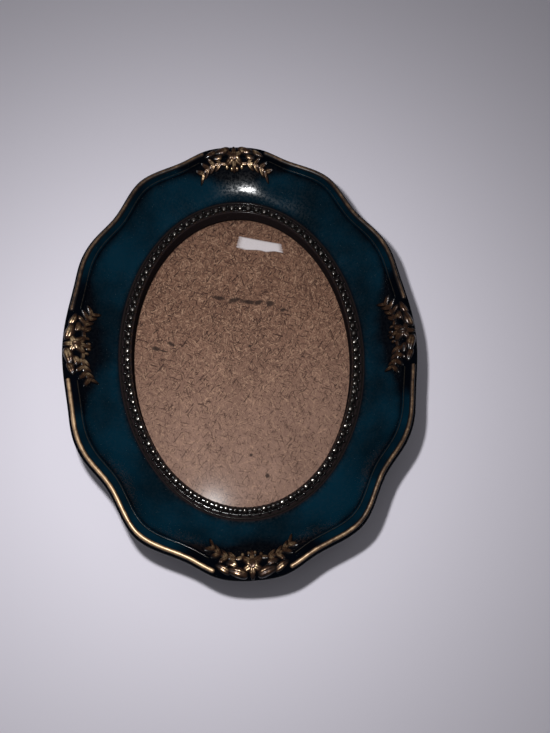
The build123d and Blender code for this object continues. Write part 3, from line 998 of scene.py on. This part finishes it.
class Graph:
    """Adds nodes to a node tree and joins them."""

    def __init__(self, tree: bpy.types.NodeTree) -> None:
        """Takes the node tree that it adds to."""
        self.tree = tree

    def feed(self, socket: Socket, value: Value) -> None:
        """Joins an input to another socket, or gives it a constant value.

        Args:
            socket: The input.
            value: A socket to join it to, or its constant value.
        """
        if isinstance(value, Socket):
            self.tree.links.new(value, socket)
        else:
            socket.default_value = value

    def add(
        self, kind: str, inputs: dict[str | int, Value] | None = None, **settings: object
    ) -> bpy.types.Node:
        """Makes one node.

        Args:
            kind: The node's type name.
            inputs: Socket values, or sockets to join, by socket name or number.
            settings: Properties of the node.

        Returns:
            The node.
        """
        node = self.tree.nodes.new(kind)
        for name, value in settings.items():
            setattr(node, name, value)
        for name, value in (inputs or {}).items():
            self.feed(node.inputs[name], value)
        return node

    def value(self, name: str) -> Socket:
        """A point value of the mesh."""
        return self.add("ShaderNodeAttribute", attribute_name=name).outputs["Fac"]

    def place(self) -> Socket:
        """The place on the object in metres."""
        return self.add("ShaderNodeTexCoord").outputs["Object"]

    def axis(self, place: Socket, letter: str) -> Socket:
        """One coordinate of a place."""
        return self.add("ShaderNodeSeparateXYZ", {0: place}).outputs[letter]

    def math(self, operation: str, *values: Value, clamp: bool = False) -> Socket:
        """The result of one sum of values, held between 0 and 1 where clamp is set."""
        inputs = dict(enumerate(values))
        return self.add("ShaderNodeMath", inputs, operation=operation, use_clamp=clamp).outputs[0]

    def times(self, first: Value, second: Value) -> Socket:
        """The product of two values."""
        return self.math("MULTIPLY", first, second)

    def plus(self, first: Value, second: Value) -> Socket:
        """The sum of two values."""
        return self.math("ADD", first, second)

    def scale(self, value: Value, factor: Value, shift: Value) -> Socket:
        """A value times a factor, and a shift added."""
        return self.math("MULTIPLY_ADD", value, factor, shift)

    def most(self, first: Value, *others: Value) -> Socket:
        """The largest of some values.

        Args:
            first: The first value.
            others: The values to compare it with.

        Returns:
            The largest.
        """
        for other in others:
            first = self.math("MAXIMUM", first, other)
        return first

    def blend(self, factor: Value, first: Value, second: Value) -> Socket:
        """A mix of two colours, all of the second where the factor is 1."""
        node = self.add("ShaderNodeMix", {0: factor, 6: first, 7: second}, data_type="RGBA")
        return node.outputs[2]

    def ramp(self, factor: Value, low: float, high: float) -> Socket:
        """A smooth step from 0 at low to 1 at high."""
        inputs = {0: factor, 1: low, 2: high}
        return self.add("ShaderNodeMapRange", inputs, interpolation_type="SMOOTHSTEP").outputs[0]

    def noise(
        self, place: Socket, scale: float, detail: float = 3, rough: float = 0.55, seed: float = 0
    ) -> Socket:
        """A noise from 0 to 1, with scale waves in a metre and finer ones of strength rough."""
        inputs = {"Vector": place, "W": seed, "Scale": scale, "Detail": detail, "Roughness": rough}
        return self.add("ShaderNodeTexNoise", inputs, noise_dimensions="4D").outputs["Fac"]


class Group(Graph):
    """A shader node group. Its inputs are in given, and finish makes its outputs."""

    def __init__(self, name: str, numbers: tuple[str, ...], colours: tuple[str, ...] = ()) -> None:
        """Makes the group and its inputs.

        Args:
            name: Name of the group.
            numbers: Names of the inputs that are numbers.
            colours: Names of the inputs that are colours.
        """
        super().__init__(bpy.data.node_groups.new(name, "ShaderNodeTree"))
        for names, kind in ((numbers, "NodeSocketFloat"), (colours, "NodeSocketColor")):
            for socket in names:
                self.tree.interface.new_socket(name=socket, in_out="INPUT", socket_type=kind)
        self.given = self.add("NodeGroupInput").outputs

    def finish(self, values: dict[str, Socket]) -> bpy.types.NodeTree:
        """Gives the group its outputs, which are numbers, apart from the base colour.

        Args:
            values: Sockets of the group, by output name.

        Returns:
            The group.
        """
        for name, value in values.items():
            kind = "NodeSocketColor" if name == "Base Color" else "NodeSocketFloat"
            self.tree.interface.new_socket(name=name, in_out="OUTPUT", socket_type=kind)
        self.add("NodeGroupOutput", values)
        return self.tree


def colour(red: int, green: int, blue: int) -> tuple[float, float, float, float]:
    """A screen colour as linear light: ((c + 0.055) / 1.055)^2.4, or c / 12.92 in the dark.

    Args:
        red: Red from 0 to 255.
        green: Green from 0 to 255.
        blue: Blue from 0 to 255.

    Returns:
        Red, green, blue and an alpha of 1.
    """
    share = np.array([red, green, blue]) / 255
    light = np.where(share > 0.04045, ((share + 0.055) / 1.055) ** 2.4, share / 12.92)
    return (*(float(value) for value in light), 1.0)


@cache
def rubbed_and_highlight_group() -> bpy.types.NodeTree:
    """Rubbed-through paint and painted highlight on high points: the nearer the crest, the
    brighter.

    Returns:
        A group that gives colour, metallic, roughness and height.
    """
    group = Group("rubbed_metal_and_highlight", ("High", "WearAndShade", "Metal", "Rough"), ("Bright", "Mid", "Dark"))
    given = group.given
    place = group.place()
    patch = group.noise(place, 420, 4, 0.6)
    fine = group.noise(place, 2600, 3, 0.6, 3)
    uneven = group.plus(given["High"], group.scale(patch, 0.9, -0.45))
    uneven = group.plus(uneven, group.scale(fine, 0.4, -0.2))
    uneven = group.plus(uneven, given["WearAndShade"])
    edge = group.ramp(uneven, 0.3, 0.8)
    base = group.blend(edge, given["Dark"], given["Mid"])
    return group.finish(
        {
            # Crests take the bright tone: rubbed-through paint and painted highlight.
            "Base Color": group.blend(group.ramp(uneven, 0.6, 1.0), base, given["Bright"]),
            "Metallic": group.times(edge, given["Metal"]),
            "Roughness": group.scale(patch, 0.2, given["Rough"]),
            "Height": group.scale(fine, 0.6, patch),
        }
    )


@dataclass(frozen=True)
class LacquerTones:
    """Colours of the lacquer, from 0 to 255 on the screen."""

    deep_teal: Rgb = (3, 17, 25)
    light_teal: Rgb = (4, 34, 48)
    deep_black: Rgb = (1, 2, 5)
    light_black: Rgb = (5, 8, 14)
    sight_edge: Rgb = (32, 26, 27)
    dust: Rgb = (150, 165, 170)
    rubbed: Rgb = (80, 72, 60)


LACQUER_VALUES = ("Cove", "Wall", "Flat", "Sight", "Spray", "Ridge")


@cache
def lacquer_group() -> bpy.types.NodeTree:
    """Teal lacquer over a dark ground, darker by the ornament, rubbed along its ridges.

    Returns:
        A group that gives colour, roughness, metallic, coat and height.
    """
    group = Group("antiqued_lacquer", LACQUER_VALUES)
    tones = LacquerTones()
    cove, wall, flat, sight, spray, ridge = (group.given[name] for name in LACQUER_VALUES)
    place = group.place()
    cloud = group.noise(place, 38, 3, 0.5)
    streak = group.noise(place, 160, 4, 0.6, 5)
    speck = group.noise(place, 3400, 1, 0.5, 9)
    pores = group.noise(place, 900, 2, 0.5, 2)

    clouded = group.ramp(cloud, 0.34, 0.66)
    teal = group.blend(clouded, colour(*tones.deep_teal), colour(*tones.light_teal))
    black = group.blend(streak, colour(*tones.deep_black), colour(*tones.light_black))
    shown = group.most(cove, group.times(wall, 0.75), group.times(flat, 0.5))
    shown = group.plus(shown, group.scale(streak, 0.5, -0.25))
    shown = group.ramp(group.math("SUBTRACT", shown, spray), 0.1, 0.75)
    base = group.blend(shown, black, teal)
    base = group.blend(sight, base, colour(*tones.sight_edge))
    dust = group.times(group.ramp(speck, 0.74, 0.80), 0.35)
    base = group.blend(dust, base, colour(*tones.dust))
    rub = group.ramp(group.plus(ridge, group.scale(pores, 0.9, -0.75)), 0.35, 0.8)
    base = group.blend(group.times(rub, 0.25), base, colour(*tones.rubbed))

    glossy = group.ramp(cove, 0.1, 0.6)
    pits = group.ramp(group.noise(place, 1000, 4, 0.75, 21), 0.55, 0.45)
    coated = group.times(glossy, group.scale(pits, 0.85, 0.15))
    relief = group.scale(cloud, 2.0, streak)
    return group.finish(
        {
            "Base Color": base,
            "Roughness": group.scale(pores, 0.10, 0.14),
            "Metallic": group.times(rub, 0.3),
            "Coat Weight": group.most(coated, group.times(ridge, 0.5), group.times(wall, 0.6)),
            "Height": group.scale(group.times(speck, glossy), 1.6, relief),
        }
    )


@dataclass(frozen=True)
class Strands:
    """A layer of fibres that lie about one way. Turn in degrees."""

    turn: float
    stretch: float
    amount: float
    tint: Rgb


@dataclass(frozen=True)
class Mark:
    """A stain or chip of the board: place and half sizes, turn in degrees."""

    x: float
    y: float
    wide: float
    tall: float
    turn: float = 0.0


@dataclass(frozen=True)
class BoardLook:
    """Tones, fibres and marks of the board."""

    # Painted light: the paler tone towards the bottom of the board.
    lower: Rgb = (158, 127, 113)
    cloud: Rgb = (100, 72, 58)
    dots: Rgb = (58, 38, 32)
    stain: Rgb = (40, 24, 18)
    strands: tuple[Strands, ...] = (
        Strands(48, 7.0, 0.55, (186, 150, 124)),
        Strands(100, 6.0, 0.5, (190, 154, 128)),
        Strands(158, 7.0, 0.55, (184, 148, 122)),
        Strands(20, 7.0, 0.95, (48, 22, 15)),
        Strands(75, 8.0, 0.9, (52, 26, 18)),
        Strands(128, 7.5, 0.95, (46, 22, 15)),
    )
    marks: tuple[Mark, ...] = (
        Mark(-9.0, 26.6, 3.4, 1.0, -14),
        Mark(-2.6, 25.3, 2.6, 1.4, 20),
        Mark(3.4, 24.3, 3.6, 1.1, -10),
        Mark(8.2, 23.9, 2.2, 1.0, 25),
        Mark(13.0, 23.2, 2.1, 1.7, -30),
        Mark(18.5, 19.9, 1.2, 0.9),
        Mark(-36.2, 4.0, 2.2, 0.9, -24),
        Mark(-33.2, 2.9, 2.2, 0.4, -16),
        Mark(-30.1, 6.0, 1.8, 0.8, -32),
        Mark(3.4, 3.6, 0.8, 0.6),
        Mark(1.6, -43.0, 0.7, 0.7),
        Mark(7.6, -51.7, 1.1, 0.9),
        Mark(2.1, 53.7, 0.4, 0.3),
    )


def strand(group: Group, place: Socket, bend: Socket, strands: Strands, seed: float) -> Socket:
    """Long thin fibres: a noise read on turned, squeezed and slightly bent places.

    Args:
        group: The group to add to.
        place: Where the fibres are read.
        bend: A small shift that bends them.
        strands: Their way and length.
        seed: Which noise they come from.

    Returns:
        1 on a fibre and 0 beside it.
    """
    turn = (0, 0, math.radians(strands.turn))
    turned = group.add("ShaderNodeMapping", {"Vector": place, "Rotation": turn}).outputs[0]
    squeeze = (1 / strands.stretch, 1, 1)
    squeezed = group.add("ShaderNodeMapping", {"Vector": turned, "Scale": squeeze}).outputs[0]
    bent = group.add("ShaderNodeVectorMath", {0: squeezed, 1: bend}, operation="ADD").outputs[0]
    return group.ramp(group.noise(bent, 2300, 1, 0.5, seed), 0.60, 0.67)


def stain(group: Group, place: Socket, uneven: Socket, mark: Mark) -> Socket:
    """A spot with a broken edge: 1 in the middle of an oval and 0 outside.

    Args:
        group: The group to add to.
        place: Where the spot is read.
        uneven: A noise that breaks its edge.
        mark: The spot's oval.

    Returns:
        The spot.
    """
    inputs = {
        "Vector": place,
        "Location": (mark.x * MM, mark.y * MM, 0.0),
        "Rotation": (0, 0, math.radians(mark.turn)),
        "Scale": (mark.wide * MM, mark.tall * MM, 1.0),
    }
    apart = group.add("ShaderNodeMapping", inputs, vector_type="TEXTURE").outputs[0]
    reach = group.add("ShaderNodeVectorMath", {0: apart}, operation="LENGTH").outputs["Value"]
    return group.ramp(group.scale(uneven, 2.4, reach), 2.5, 1.7)


@cache
def board_group() -> bpy.types.NodeTree:
    """Pressed wood fibres with stains, and painted light that makes them paler and smoother
    downwards.

    Returns:
        A group that gives colour, roughness and height.
    """
    group = Group("pressed_fibres", (), ("Light", "Dark"))
    look = BoardLook()
    place = group.place()
    cloud = group.noise(place, 55, 4, 0.6)
    mottle = group.noise(place, 620, 5, 0.8, 4)
    grain = group.noise(place, 2400, 3, 0.7, 7)
    base = group.blend(group.ramp(mottle, 0.36, 0.60), group.given["Dark"], group.given["Light"])
    # Painted light: paler towards the bottom, where the fibres also show less.
    lower = group.ramp(group.axis(place, "Y"), 0.03, -0.065)
    base = group.blend(group.times(lower, 0.75), base, colour(*look.lower))
    clouded = group.math("MULTIPLY_ADD", cloud, 1.2, -0.35, clamp=True)
    base = group.blend(clouded, base, colour(*look.cloud))

    strength = group.scale(lower, -0.45, 1.0)
    wander = group.add("ShaderNodeTexNoise", {"Vector": place, "Scale": 260.0, "Detail": 1.0})
    bend = group.add(
        "ShaderNodeVectorMath", {0: wander.outputs["Color"], 3: 0.0012}, operation="SCALE"
    ).outputs[0]
    fibres = []
    for number, strands in enumerate(look.strands):
        fibres.append(strand(group, place, bend, strands, number * 3.1))
        shown = group.times(group.times(fibres[-1], strands.amount), strength)
        base = group.blend(shown, base, colour(*strands.tint))
    dots = group.times(group.ramp(group.noise(place, 1150, 2, 0.6, 12), 0.66, 0.76), 0.6)
    base = group.blend(dots, base, colour(*look.dots))
    stains = group.most(*(stain(group, place, mottle, mark) for mark in look.marks))
    return group.finish(
        {
            "Base Color": group.blend(group.times(stains, 0.9), base, colour(*look.stain)),
            "Roughness": group.scale(grain, 0.2, 0.62),
            "Height": group.plus(grain, group.times(group.most(*fibres), 0.8)),
        }
    )


@dataclass(frozen=True)
class Finish:
    """A finish, with the settings that are the same all over the surface."""

    coat: float = 0.0
    coat_roughness: float = 0.05
    sheen: float = 0.0
    specular: float = 0.5
    bump: float = 0.1
    bump_distance: float = 0.0002

    def material(self, name: str) -> bpy.types.Material:
        """Makes the finish's material.

        Args:
            name: Name of the material.

        Returns:
            The material.
        """
        material = bpy.data.materials.new(name)
        material.use_nodes = True
        graph = Graph(material.node_tree)
        strength = {"Strength": self.bump, "Distance": self.bump_distance}
        bump = graph.add("ShaderNodeBump", strength)
        shader = material.node_tree.nodes["Principled BSDF"]
        values = {
            "Coat Weight": self.coat,
            "Coat Roughness": self.coat_roughness,
            "Sheen Weight": self.sheen,
            "Specular IOR Level": self.specular,
            "Normal": bump.outputs["Normal"],
            **self.shade(graph),
        }
        for socket, value in values.items():
            node = bump if socket == "Height" else shader
            graph.feed(node.inputs[socket], value)
        return material

    def shade(self, graph: Graph) -> dict[str, Value]:
        """What the finish gives the shader's sockets, and the height of its bump."""
        raise NotImplementedError

    @staticmethod
    def grouped(
        graph: Graph, tree: bpy.types.NodeTree, inputs: dict[str, Value]
    ) -> dict[str, Value]:
        """A shared effect's outputs, which have the names of the shader's sockets."""
        return dict(graph.add("ShaderNodeGroup", inputs, node_tree=tree).outputs.items())


@dataclass(frozen=True)
class Lacquer(Finish):
    """Glossy dark teal lacquer."""

    def shade(self, graph: Graph) -> dict[str, Value]:
        """The lacquer effect, guided by the body's own values."""
        inputs = {name: graph.value(name.lower()) for name in LACQUER_VALUES}
        return self.grouped(graph, lacquer_group(), inputs)


@dataclass(frozen=True)
class RubbedMetalAndHighlight(Finish):
    """Dark metal paint, rubbed bright with a painted highlight where the mesh's high value is
    large.

    The wear is added to that value, so with less of it only the crests are bright. The two
    fields of painted shade take wear away above the middle and at the right, which darkens it.
    """

    # The bright tone on the crests is rubbed gilding and painted highlight.
    bright: Rgb = (250, 216, 170)
    mid: Rgb = (78, 52, 36)
    dark: Rgb = (8, 6, 8)
    wear: float = -0.2
    metal: float = 0.8
    rough: float = 0.16
    # Painted shade: how much darker the metal is above the middle and at the right.
    upper_painted_shade: float = 0.0
    right_painted_shade: float = 0.0

    def shade(self, graph: Graph) -> dict[str, Value]:
        """The rubbed effect with this metal's tones and wear.

        Args:
            graph: The material's graph.

        Returns:
            Values and sockets by socket name.
        """
        inputs = {
            "High": graph.value("high"),
            "WearAndShade": self.wear_and_painted_shade(graph) if self.upper_painted_shade or self.right_painted_shade else self.wear,
            "Metal": self.metal,
            "Rough": self.rough,
            "Bright": colour(*self.bright),
            "Mid": colour(*self.mid),
            "Dark": colour(*self.dark),
        }
        return self.grouped(graph, rubbed_and_highlight_group(), inputs)

    def wear_and_painted_shade(self, graph: Graph) -> Socket:
        """Patchy wear, less the painted shade that darkens the metal above the middle and at the
        right.

        Args:
            graph: The material's graph.

        Returns:
            The wear.
        """
        place = graph.place()
        # Painted shade: less wear, so darker metal, above the middle and to the right.
        upper = graph.times(graph.ramp(graph.axis(place, "Y"), -0.015, 0.02), self.upper_painted_shade)
        right = graph.times(graph.ramp(graph.axis(place, "X"), 0.005, 0.045), self.right_painted_shade)
        patchy = graph.scale(graph.noise(place, 70, 3, 0.6, 8), 0.5, self.wear - 0.25)
        return graph.math("SUBTRACT", patchy, graph.most(upper, right))


@dataclass(frozen=True)
class Glass(Finish):
    """Thin clear glass, faint but for its reflections."""

    tint: Place = (0.02, 0.03, 0.03)
    roughness: float = 0.16

    def shade(self, graph: Graph) -> dict[str, Value]:
        """Nearly clear face on, and less so at a slant.

        Args:
            graph: The material's graph.

        Returns:
            Values and sockets by socket name.
        """
        facing = graph.add("ShaderNodeLayerWeight", {"Blend": 0.2}).outputs["Facing"]
        return {
            "Base Color": (*self.tint, 1.0),
            "Roughness": self.roughness,
            "Alpha": graph.scale(facing, 0.35, 0.02),
        }


@dataclass(frozen=True)
class Fibreboard(Finish):
    """Brown fibreboard."""

    light: Rgb = (134, 99, 80)
    dark: Rgb = (90, 59, 46)

    def shade(self, graph: Graph) -> dict[str, Value]:
        """The pressed fibres effect in the board's tones."""
        tones = {"Light": colour(*self.light), "Dark": colour(*self.dark)}
        return self.grouped(graph, board_group(), tones)


@dataclass(frozen=True)
class Paper(Finish):
    """White torn paper, greyer and furry towards its edge, by torn fibres and painted shade."""

    dark: Rgb = (206, 197, 200)
    light: Rgb = (228, 220, 222)
    # Torn fibres and painted shade at the edge.
    frayed_and_shaded: Rgb = (138, 118, 110)

    def shade(self, graph: Graph) -> dict[str, Value]:
        """Fibrous paper, torn fibres and painted shade greying it where the mesh's edge value is
        near 1.

        Args:
            graph: The material's graph.

        Returns:
            Values and sockets by socket name.
        """
        fibre = graph.noise(graph.place(), 1800, 4, 0.7)
        base = graph.blend(fibre, colour(*self.dark), colour(*self.light))
        # Painted shade and torn fibres: greyer towards the edge.
        frayed_and_shaded = graph.ramp(graph.scale(fibre, 0.5, graph.value("edge")), 1.02, 1.25)
        base = graph.blend(graph.times(frayed_and_shaded, 0.7), base, colour(*self.frayed_and_shaded))
        return {"Base Color": base, "Roughness": 0.8, "Height": fibre}


@dataclass(frozen=True)
class Velvet(Finish):
    """Black flocked velvet."""

    dark: Rgb = (12, 12, 14)
    light: Rgb = (44, 44, 50)

    def shade(self, graph: Graph) -> dict[str, Value]:
        """A fine pile, brushed a little lighter in patches.

        Args:
            graph: The material's graph.

        Returns:
            Values and sockets by socket name.
        """
        place = graph.place()
        pile = graph.noise(place, 5200, 3, 0.6)
        brushed = graph.noise(place, 90, 3, 0.6, 3)
        tone = graph.scale(brushed, 0.6, graph.times(pile, 0.4))
        base = graph.blend(tone, colour(*self.dark), colour(*self.light))
        return {"Base Color": base, "Roughness": 0.95, "Height": pile}


@dataclass(frozen=True)
class Brass(Finish):
    """Thin brass plating over steel, dulled in patches."""

    bright: Rgb = (208, 176, 112)
    dull: Rgb = (166, 134, 84)

    def shade(self, graph: Graph) -> dict[str, Value]:
        """Patches of dull brass with a fine grain.

        Args:
            graph: The material's graph.

        Returns:
            Values and sockets by socket name.
        """
        place = graph.place()
        patch = graph.noise(place, 240, 4, 0.6)
        fine = graph.noise(place, 3200, 2, 0.6, 5)
        dulled = graph.ramp(patch, 0.35, 0.7)
        return {
            "Base Color": graph.blend(dulled, colour(*self.bright), colour(*self.dull)),
            "Metallic": 1.0,
            "Roughness": graph.scale(patch, 0.2, graph.times(fine, 0.25)),
            "Height": fine,
        }


class Paints:
    """Makes the material of each slot once, and gives them to pieces."""

    FINISHES: dict[Slot, Finish] = {
        Slot.LACQUER: Lacquer(coat_roughness=0.16, specular=0.0, bump=0.07),
        Slot.GILDING: RubbedMetalAndHighlight(
            specular=0.4,
            bump=0.12,
            bright=(186, 156, 122),
            mid=(104, 80, 60),
            dark=(20, 16, 17),
            wear=-0.04,
            metal=0.4,
            rough=0.26,
            # Painted shade: the gilding is darker above the middle and at the right.
            upper_painted_shade=0.36,
            right_painted_shade=0.3,
        ),
        Slot.BEADS: RubbedMetalAndHighlight(
            coat=0.5,
            coat_roughness=0.12,
            specular=0.4,
            bump=0.03,
            # Painted highlight: the near-white bright tone on each bead's crest stands for the
            # lamp's glint.
            bright=(240, 232, 222),
            mid=(44, 36, 34),
            dark=(10, 8, 8),
            wear=-0.26,
            rough=0.1,
        ),
        # The sprays' crests take the cream bright tone: rubbed gilding and painted highlight.
        Slot.SPRAYS: RubbedMetalAndHighlight(
            coat=0.25,
            coat_roughness=0.12,
            specular=0.4,
            bump=0.07,
            wear=-0.22,
            rough=0.2,
            # Painted shade: the sprays are a little darker at the right.
            right_painted_shade=0.08,
        ),
        Slot.GLASS: Glass(bump=0.0),
        Slot.PAPER: Paper(specular=0.2, bump=0.4),
        Slot.BOARD: Fibreboard(specular=0.25, bump=0.35),
        Slot.VELVET: Velvet(sheen=0.15, specular=0.1, bump=0.5),
        Slot.FITTINGS: Brass(),
    }

    def __init__(self) -> None:
        """Makes the materials."""
        self.made = {slot: finish.material(slot.value) for slot, finish in self.FINISHES.items()}

    def paint(self, piece: bpy.types.Object, slot: Slot) -> None:
        """Gives a piece one material in place of all that it has.

        Args:
            piece: The piece.
            slot: The slot whose finish it takes.
        """
        piece.data.materials.clear()
        piece.data.materials.append(self.made[slot])
        log.info("%s is finished in %s", piece.name, slot.value)


@dataclass(frozen=True)
class CameraFit:
    """The camera fitted to the photograph. Angles in degrees, lengths in millimetres."""

    turn_x: float = -18.8
    turn_y: float = 2.53
    turn_z: float = 3.42
    offset: Place = (-13.69, 5.905, -252.094)
    focal_pixels: float = 600.0
    long_side_pixels: float = 733.0
    sensor: float = 36.0
    base_height: float = 11.1
    clip_start: float = 0.01


@dataclass(frozen=True)
class Lamp:
    """A soft square lamp. Places and its side in metres, power in watts."""

    name: str
    place: Place
    aim: Place
    side: float
    power: float
    mirrored: bool = True


class Studio:
    """Floor, lamps, background and camera."""

    LAMPS = (
        Lamp("near_lamp", (-0.0255, -0.039, 0.227), (-0.034, 0.038, 0.0), 0.011, 0.47),
        Lamp("fill_lamp", (0.0, 0.0, 0.9), (0.0, 0.0, 0.0), 1.0, 1.0, mirrored=False),
    )
    TABLE_SIDE = 6.0
    TABLE_TONE: Rgb = (228, 224, 235)
    SURROUND: Place = (0.93, 0.93, 1.0)
    SURROUND_STRENGTH = 0.05

    def build(self) -> None:
        """Makes the whole studio."""
        self.floor()
        for lamp in self.LAMPS:
            self.light(lamp)
        self.world()
        self.camera(CameraFit())
        bpy.context.scene.view_settings.view_transform = "Standard"

    def floor(self) -> None:
        """A pale table top, seen in its own colour and keeping the frame's shadow."""
        bpy.ops.mesh.primitive_plane_add(size=self.TABLE_SIDE)
        plane = bpy.context.active_object
        plane.name = "table_top"
        material = bpy.data.materials.new("pale_table")
        material.use_nodes = True
        shader = material.node_tree.nodes["Principled BSDF"].inputs
        shader["Base Color"].default_value = colour(*self.TABLE_TONE)
        shader["Roughness"].default_value = 0.7
        shader["Specular IOR Level"].default_value = 0.2
        plane.data.materials.append(material)

    @staticmethod
    def light(lamp: Lamp) -> None:
        """Hangs one lamp and aims it.

        Args:
            lamp: The lamp.
        """
        data = bpy.data.lights.new(lamp.name, "AREA")
        data.shape = "SQUARE"
        data.size = lamp.side
        data.energy = lamp.power
        holder = bpy.data.objects.new(lamp.name, data)
        bpy.context.scene.collection.objects.link(holder)
        holder.location = lamp.place
        holder.visible_glossy = lamp.mirrored
        away = Vector(lamp.place) - Vector(lamp.aim)
        holder.rotation_euler = away.to_track_quat("Z", "Y").to_euler()

    def world(self) -> None:
        """An even, pale surround."""
        world = bpy.data.worlds.new("pale_surround")
        bpy.context.scene.world = world
        world.use_nodes = True
        background = world.node_tree.nodes["Background"].inputs
        background["Color"].default_value = (*self.SURROUND, 1.0)
        background["Strength"].default_value = self.SURROUND_STRENGTH

    @staticmethod
    def camera(fit: CameraFit) -> None:
        """Sets the camera where the photograph was taken from.

        A point p of the frame is at q = Rx Ry Rz p + offset in the camera's axes.

        Args:
            fit: The fitted camera.
        """
        turn_x, turn_y, turn_z = (
            Matrix.Rotation(math.radians(angle), 3, axis)
            for angle, axis in ((fit.turn_x, "X"), (fit.turn_y, "Y"), (fit.turn_z, "Z"))
        )
        back = (turn_x @ turn_y @ turn_z).transposed()
        place = back @ (-Vector(fit.offset)) + Vector((0, 0, fit.base_height))
        data = bpy.data.cameras.new("photo_camera")
        data.sensor_width = fit.sensor
        data.lens = fit.sensor * fit.focal_pixels / fit.long_side_pixels
        data.clip_start = fit.clip_start
        holder = bpy.data.objects.new("photo_camera", data)
        bpy.context.scene.collection.objects.link(holder)
        holder.matrix_world = Matrix.Translation(place * MM) @ back.to_4x4()
        bpy.context.scene.camera = holder


class PictureFrame:
    """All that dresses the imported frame."""

    SPRAYS = {"right": 0.0, "top": 90.0, "left": 180.0, "bottom": 270.0}
    RODS = {
        "top_right": (False, False),
        "top_left": (True, False),
        "bottom_right": (False, True),
        "bottom_left": (True, True),
    }
    BEADS = {
        "pearl_bead_ring": BeadSize(radius=1.4, inset=1.35, lift=0.4, first=0.0, band_width=1.5),
        "seed_bead_ring": BeadSize(
            radius=0.72, inset=3.0, lift=0.15, first=0.5, band_width=0.5, crest=0.7, rows=11
        ),
    }
    CARRIED = {
        "glass_pane": Slot.GLASS,
        "backing_board": Slot.BOARD,
        "easel_strut": Slot.BOARD,
        "board_velvet": Slot.VELVET,
        "strut_velvet": Slot.VELVET,
    }

    def __init__(self, paints: Paints) -> None:
        """Takes the paints and works out the shared form."""
        self.paints = paints
        self.casting = Casting(CastingSize())

    def stand_in(self, surface: Surface, node: str, slot: Slot) -> None:
        """Shows a surface in place of a node of the root body.

        Args:
            surface: The new surface.
            node: The node that it stands for.
            slot: The record's slot that it takes its finish from.
        """
        piece = surface.to_object(f"{node}_cast")
        self.paints.paint(piece, slot)
        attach(piece, "frame")
        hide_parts(node)

    def build(self) -> None:
        """Makes every piece and paints every node that stays."""
        self.stand_in(Body(self.casting).surface(), "frame_body", Slot.LACQUER)
        rod = RimRod(self.casting, RodSize())
        for name, mirrored in self.RODS.items():
            self.stand_in(rod.surface(*mirrored), f"rim_rod_{name}", Slot.GILDING)
        for name, size in self.BEADS.items():
            self.stand_in(BeadRow(self.casting, size).surface(), name, Slot.BEADS)
        spray = Spray(self.casting, SpraySize())
        for name, angle in self.SPRAYS.items():
            made = spray.surface(math.radians(angle))
            self.stand_in(made, f"floral_spray_{name}", Slot.SPRAYS)
        self.stand_in(PaperScrap(ScrapSize()).surface(), "paper_scrap", Slot.PAPER)
        for node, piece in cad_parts.items():
            if not piece.hide_render:
                self.paints.paint(piece, self.CARRIED.get(node, Slot.FITTINGS))


def main() -> None:
    """Builds the dressed frame and its studio."""
    PictureFrame(Paints()).build()
    Studio().build()


if __name__ == "__main__":
    main()
